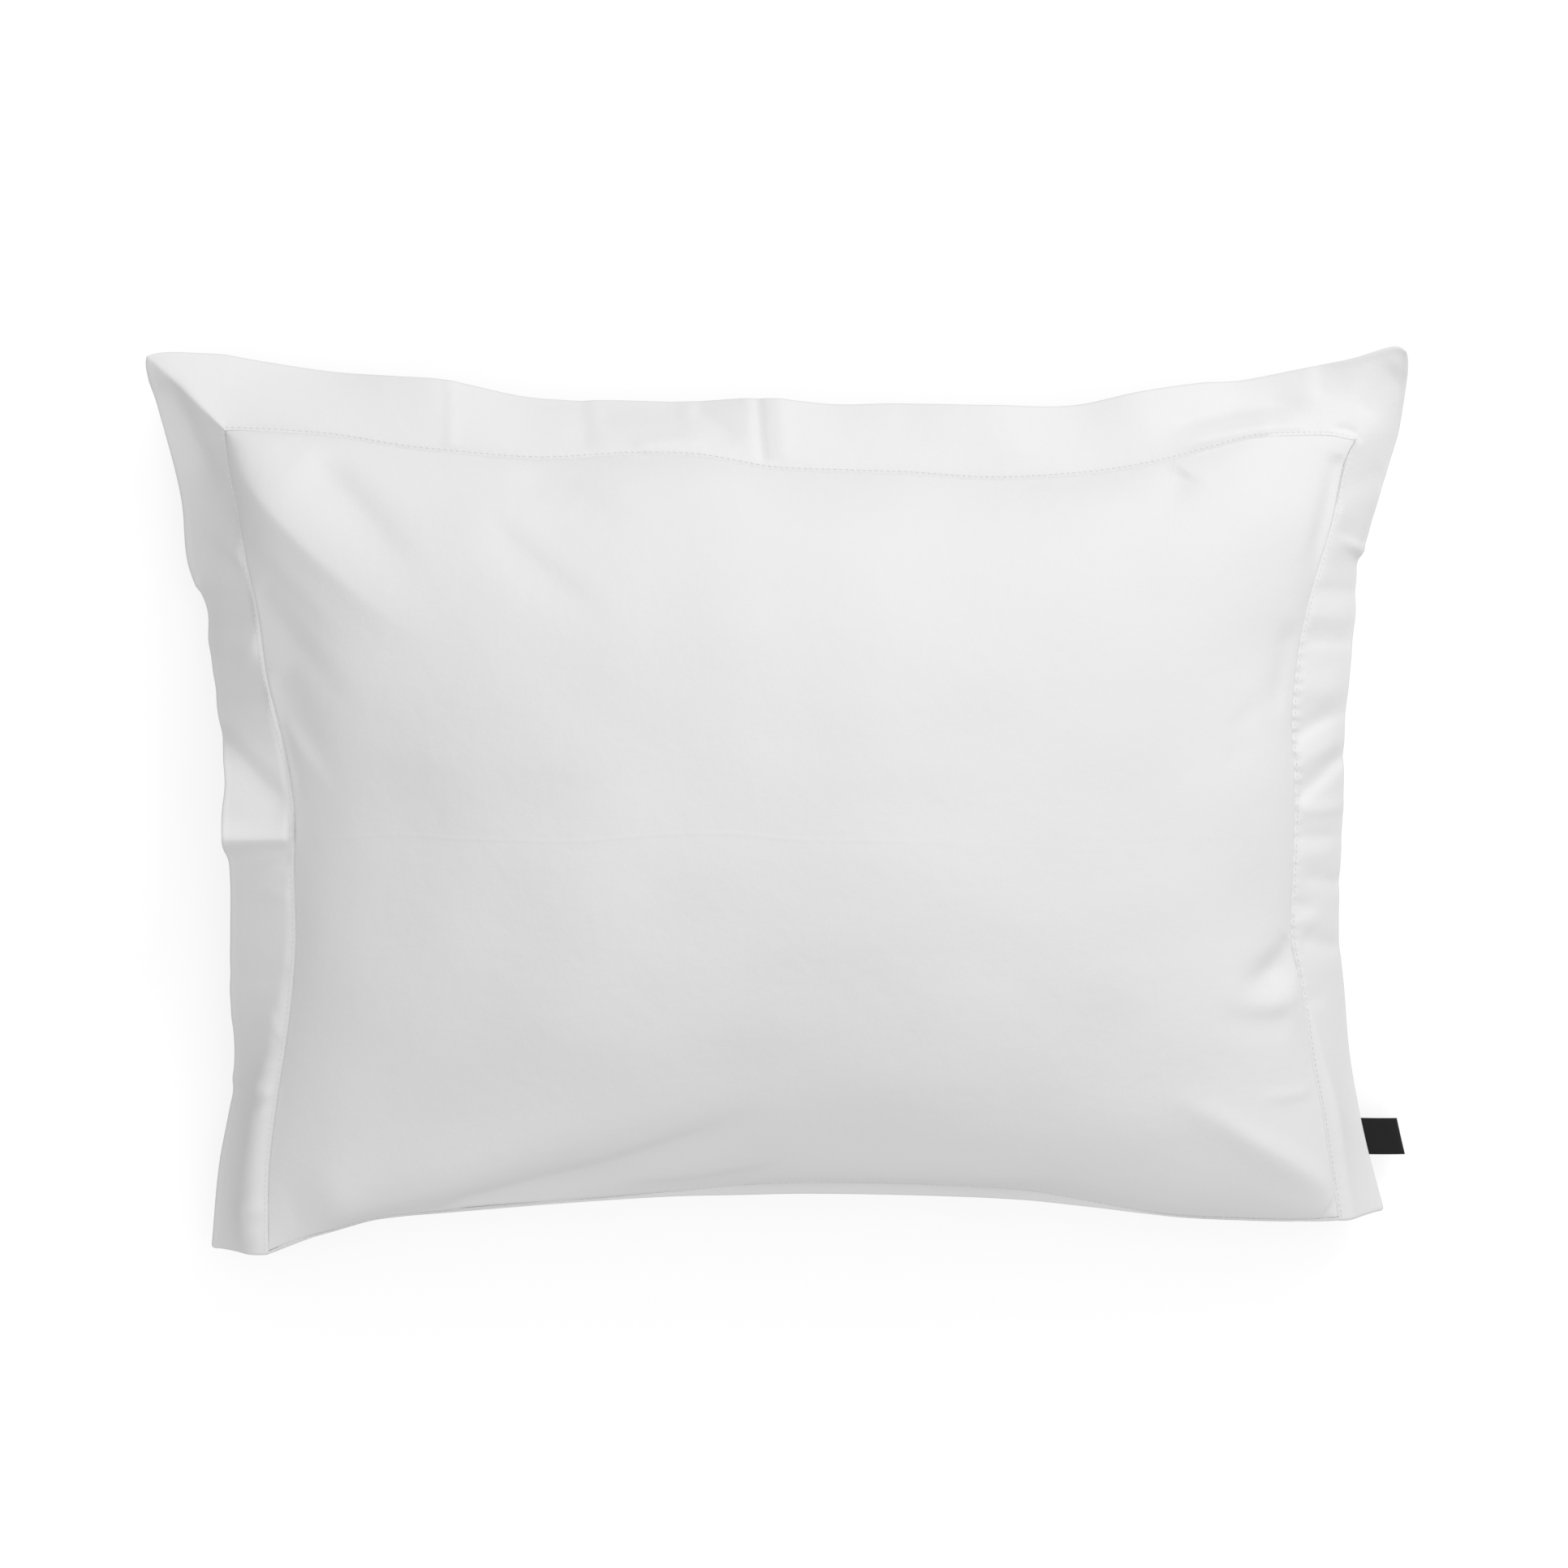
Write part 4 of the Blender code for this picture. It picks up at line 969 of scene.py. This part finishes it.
KEY_SIDE = Vector((0.42, 0.76, 0.47)).normalized()
area_light("key", KEY_SIDE * 3.0, (0, 0, 0.05), 1.5, 30.5)
world = bpy.data.worlds.new("studio")
world.use_nodes = True
tree = world.node_tree
tree.nodes["Background"].inputs["Color"].default_value = (1, 1, 1, 1)
way = node(tree, "ShaderNodeSeparateXYZ", {"Vector": (node(tree, "ShaderNodeTexCoord"), "Generated")})
sky = node(tree, "ShaderNodeMapRange", {"Value": (way, "Z"), "From Min": 0.0, "From Max": 1.0,
                                        "To Min": 0.58, "To Max": 0.93})
ground = node(tree, "ShaderNodeMapRange", {"Value": (way, "Z"), "From Min": -0.06, "From Max": 0.0,
                                           "To Min": 0.40, "To Max": 0.58})
under_horizon = node(tree, "ShaderNodeMath", {0: (way, "Z"), 1: 0.0}, operation="LESS_THAN")
level = node(tree, "ShaderNodeMix", {0: (under_horizon, "Value"), 2: (sky, "Result"),
                                     3: (ground, "Result")}, data_type="FLOAT")
aside = node(tree, "ShaderNodeMapRange", {"Value": (way, "X"), "From Min": -1.0, "From Max": 0.0,
                                          "To Min": 0.86, "To Max": 1.0})
nearer = node(tree, "ShaderNodeMapRange", {"Value": (way, "Y"), "From Min": -1.0, "From Max": 0.0,
                                           "To Min": 1.10, "To Max": 1.0})
shaped = node(tree, "ShaderNodeMath", {0: (aside, "Result"), 1: (nearer, "Result")}, operation="MULTIPLY")
strength = node(tree, "ShaderNodeMath", {0: (level, 0), 1: (shaped, "Value")}, operation="MULTIPLY")
tree.links.new(strength.outputs[0], tree.nodes["Background"].inputs["Strength"])
bpy.context.scene.world = world
bpy.context.scene.view_settings.view_transform = "Standard"
bpy.context.scene.view_settings.look = "None"

# ----------------------------------------------------------------------- camera
DISTANCE = 2.4
YAW, PITCH, ROLL = math.radians(8.5), math.radians(4.5), math.radians(-0.4)
AIM = Vector((-0.0155, 0.0350, 0.075)) + Vector(SHIFT)
PIXELS, FOCAL = 1932, 4900
back_dir = Vector((-math.sin(YAW) * math.cos(PITCH), math.sin(PITCH), math.cos(YAW) * math.cos(PITCH)))
right = (-back_dir).cross(Vector((0, 1, 0))).normalized()
up = right.cross(-back_dir)
right, up = (math.cos(ROLL) * right + math.sin(ROLL) * up, -math.sin(ROLL) * right + math.cos(ROLL) * up)
turn = Matrix((right, up, back_dir)).transposed()
lens = bpy.data.cameras.new("camera")
lens.sensor_width = 36
lens.lens = FOCAL / PIXELS * 36
lens.clip_start, lens.clip_end = 0.05, 50
camera = bpy.data.objects.new("camera", lens)
camera.matrix_world = Matrix.Translation(AIM + back_dir * DISTANCE) @ turn.to_4x4()
bpy.context.scene.collection.objects.link(camera)
bpy.context.scene.camera = camera
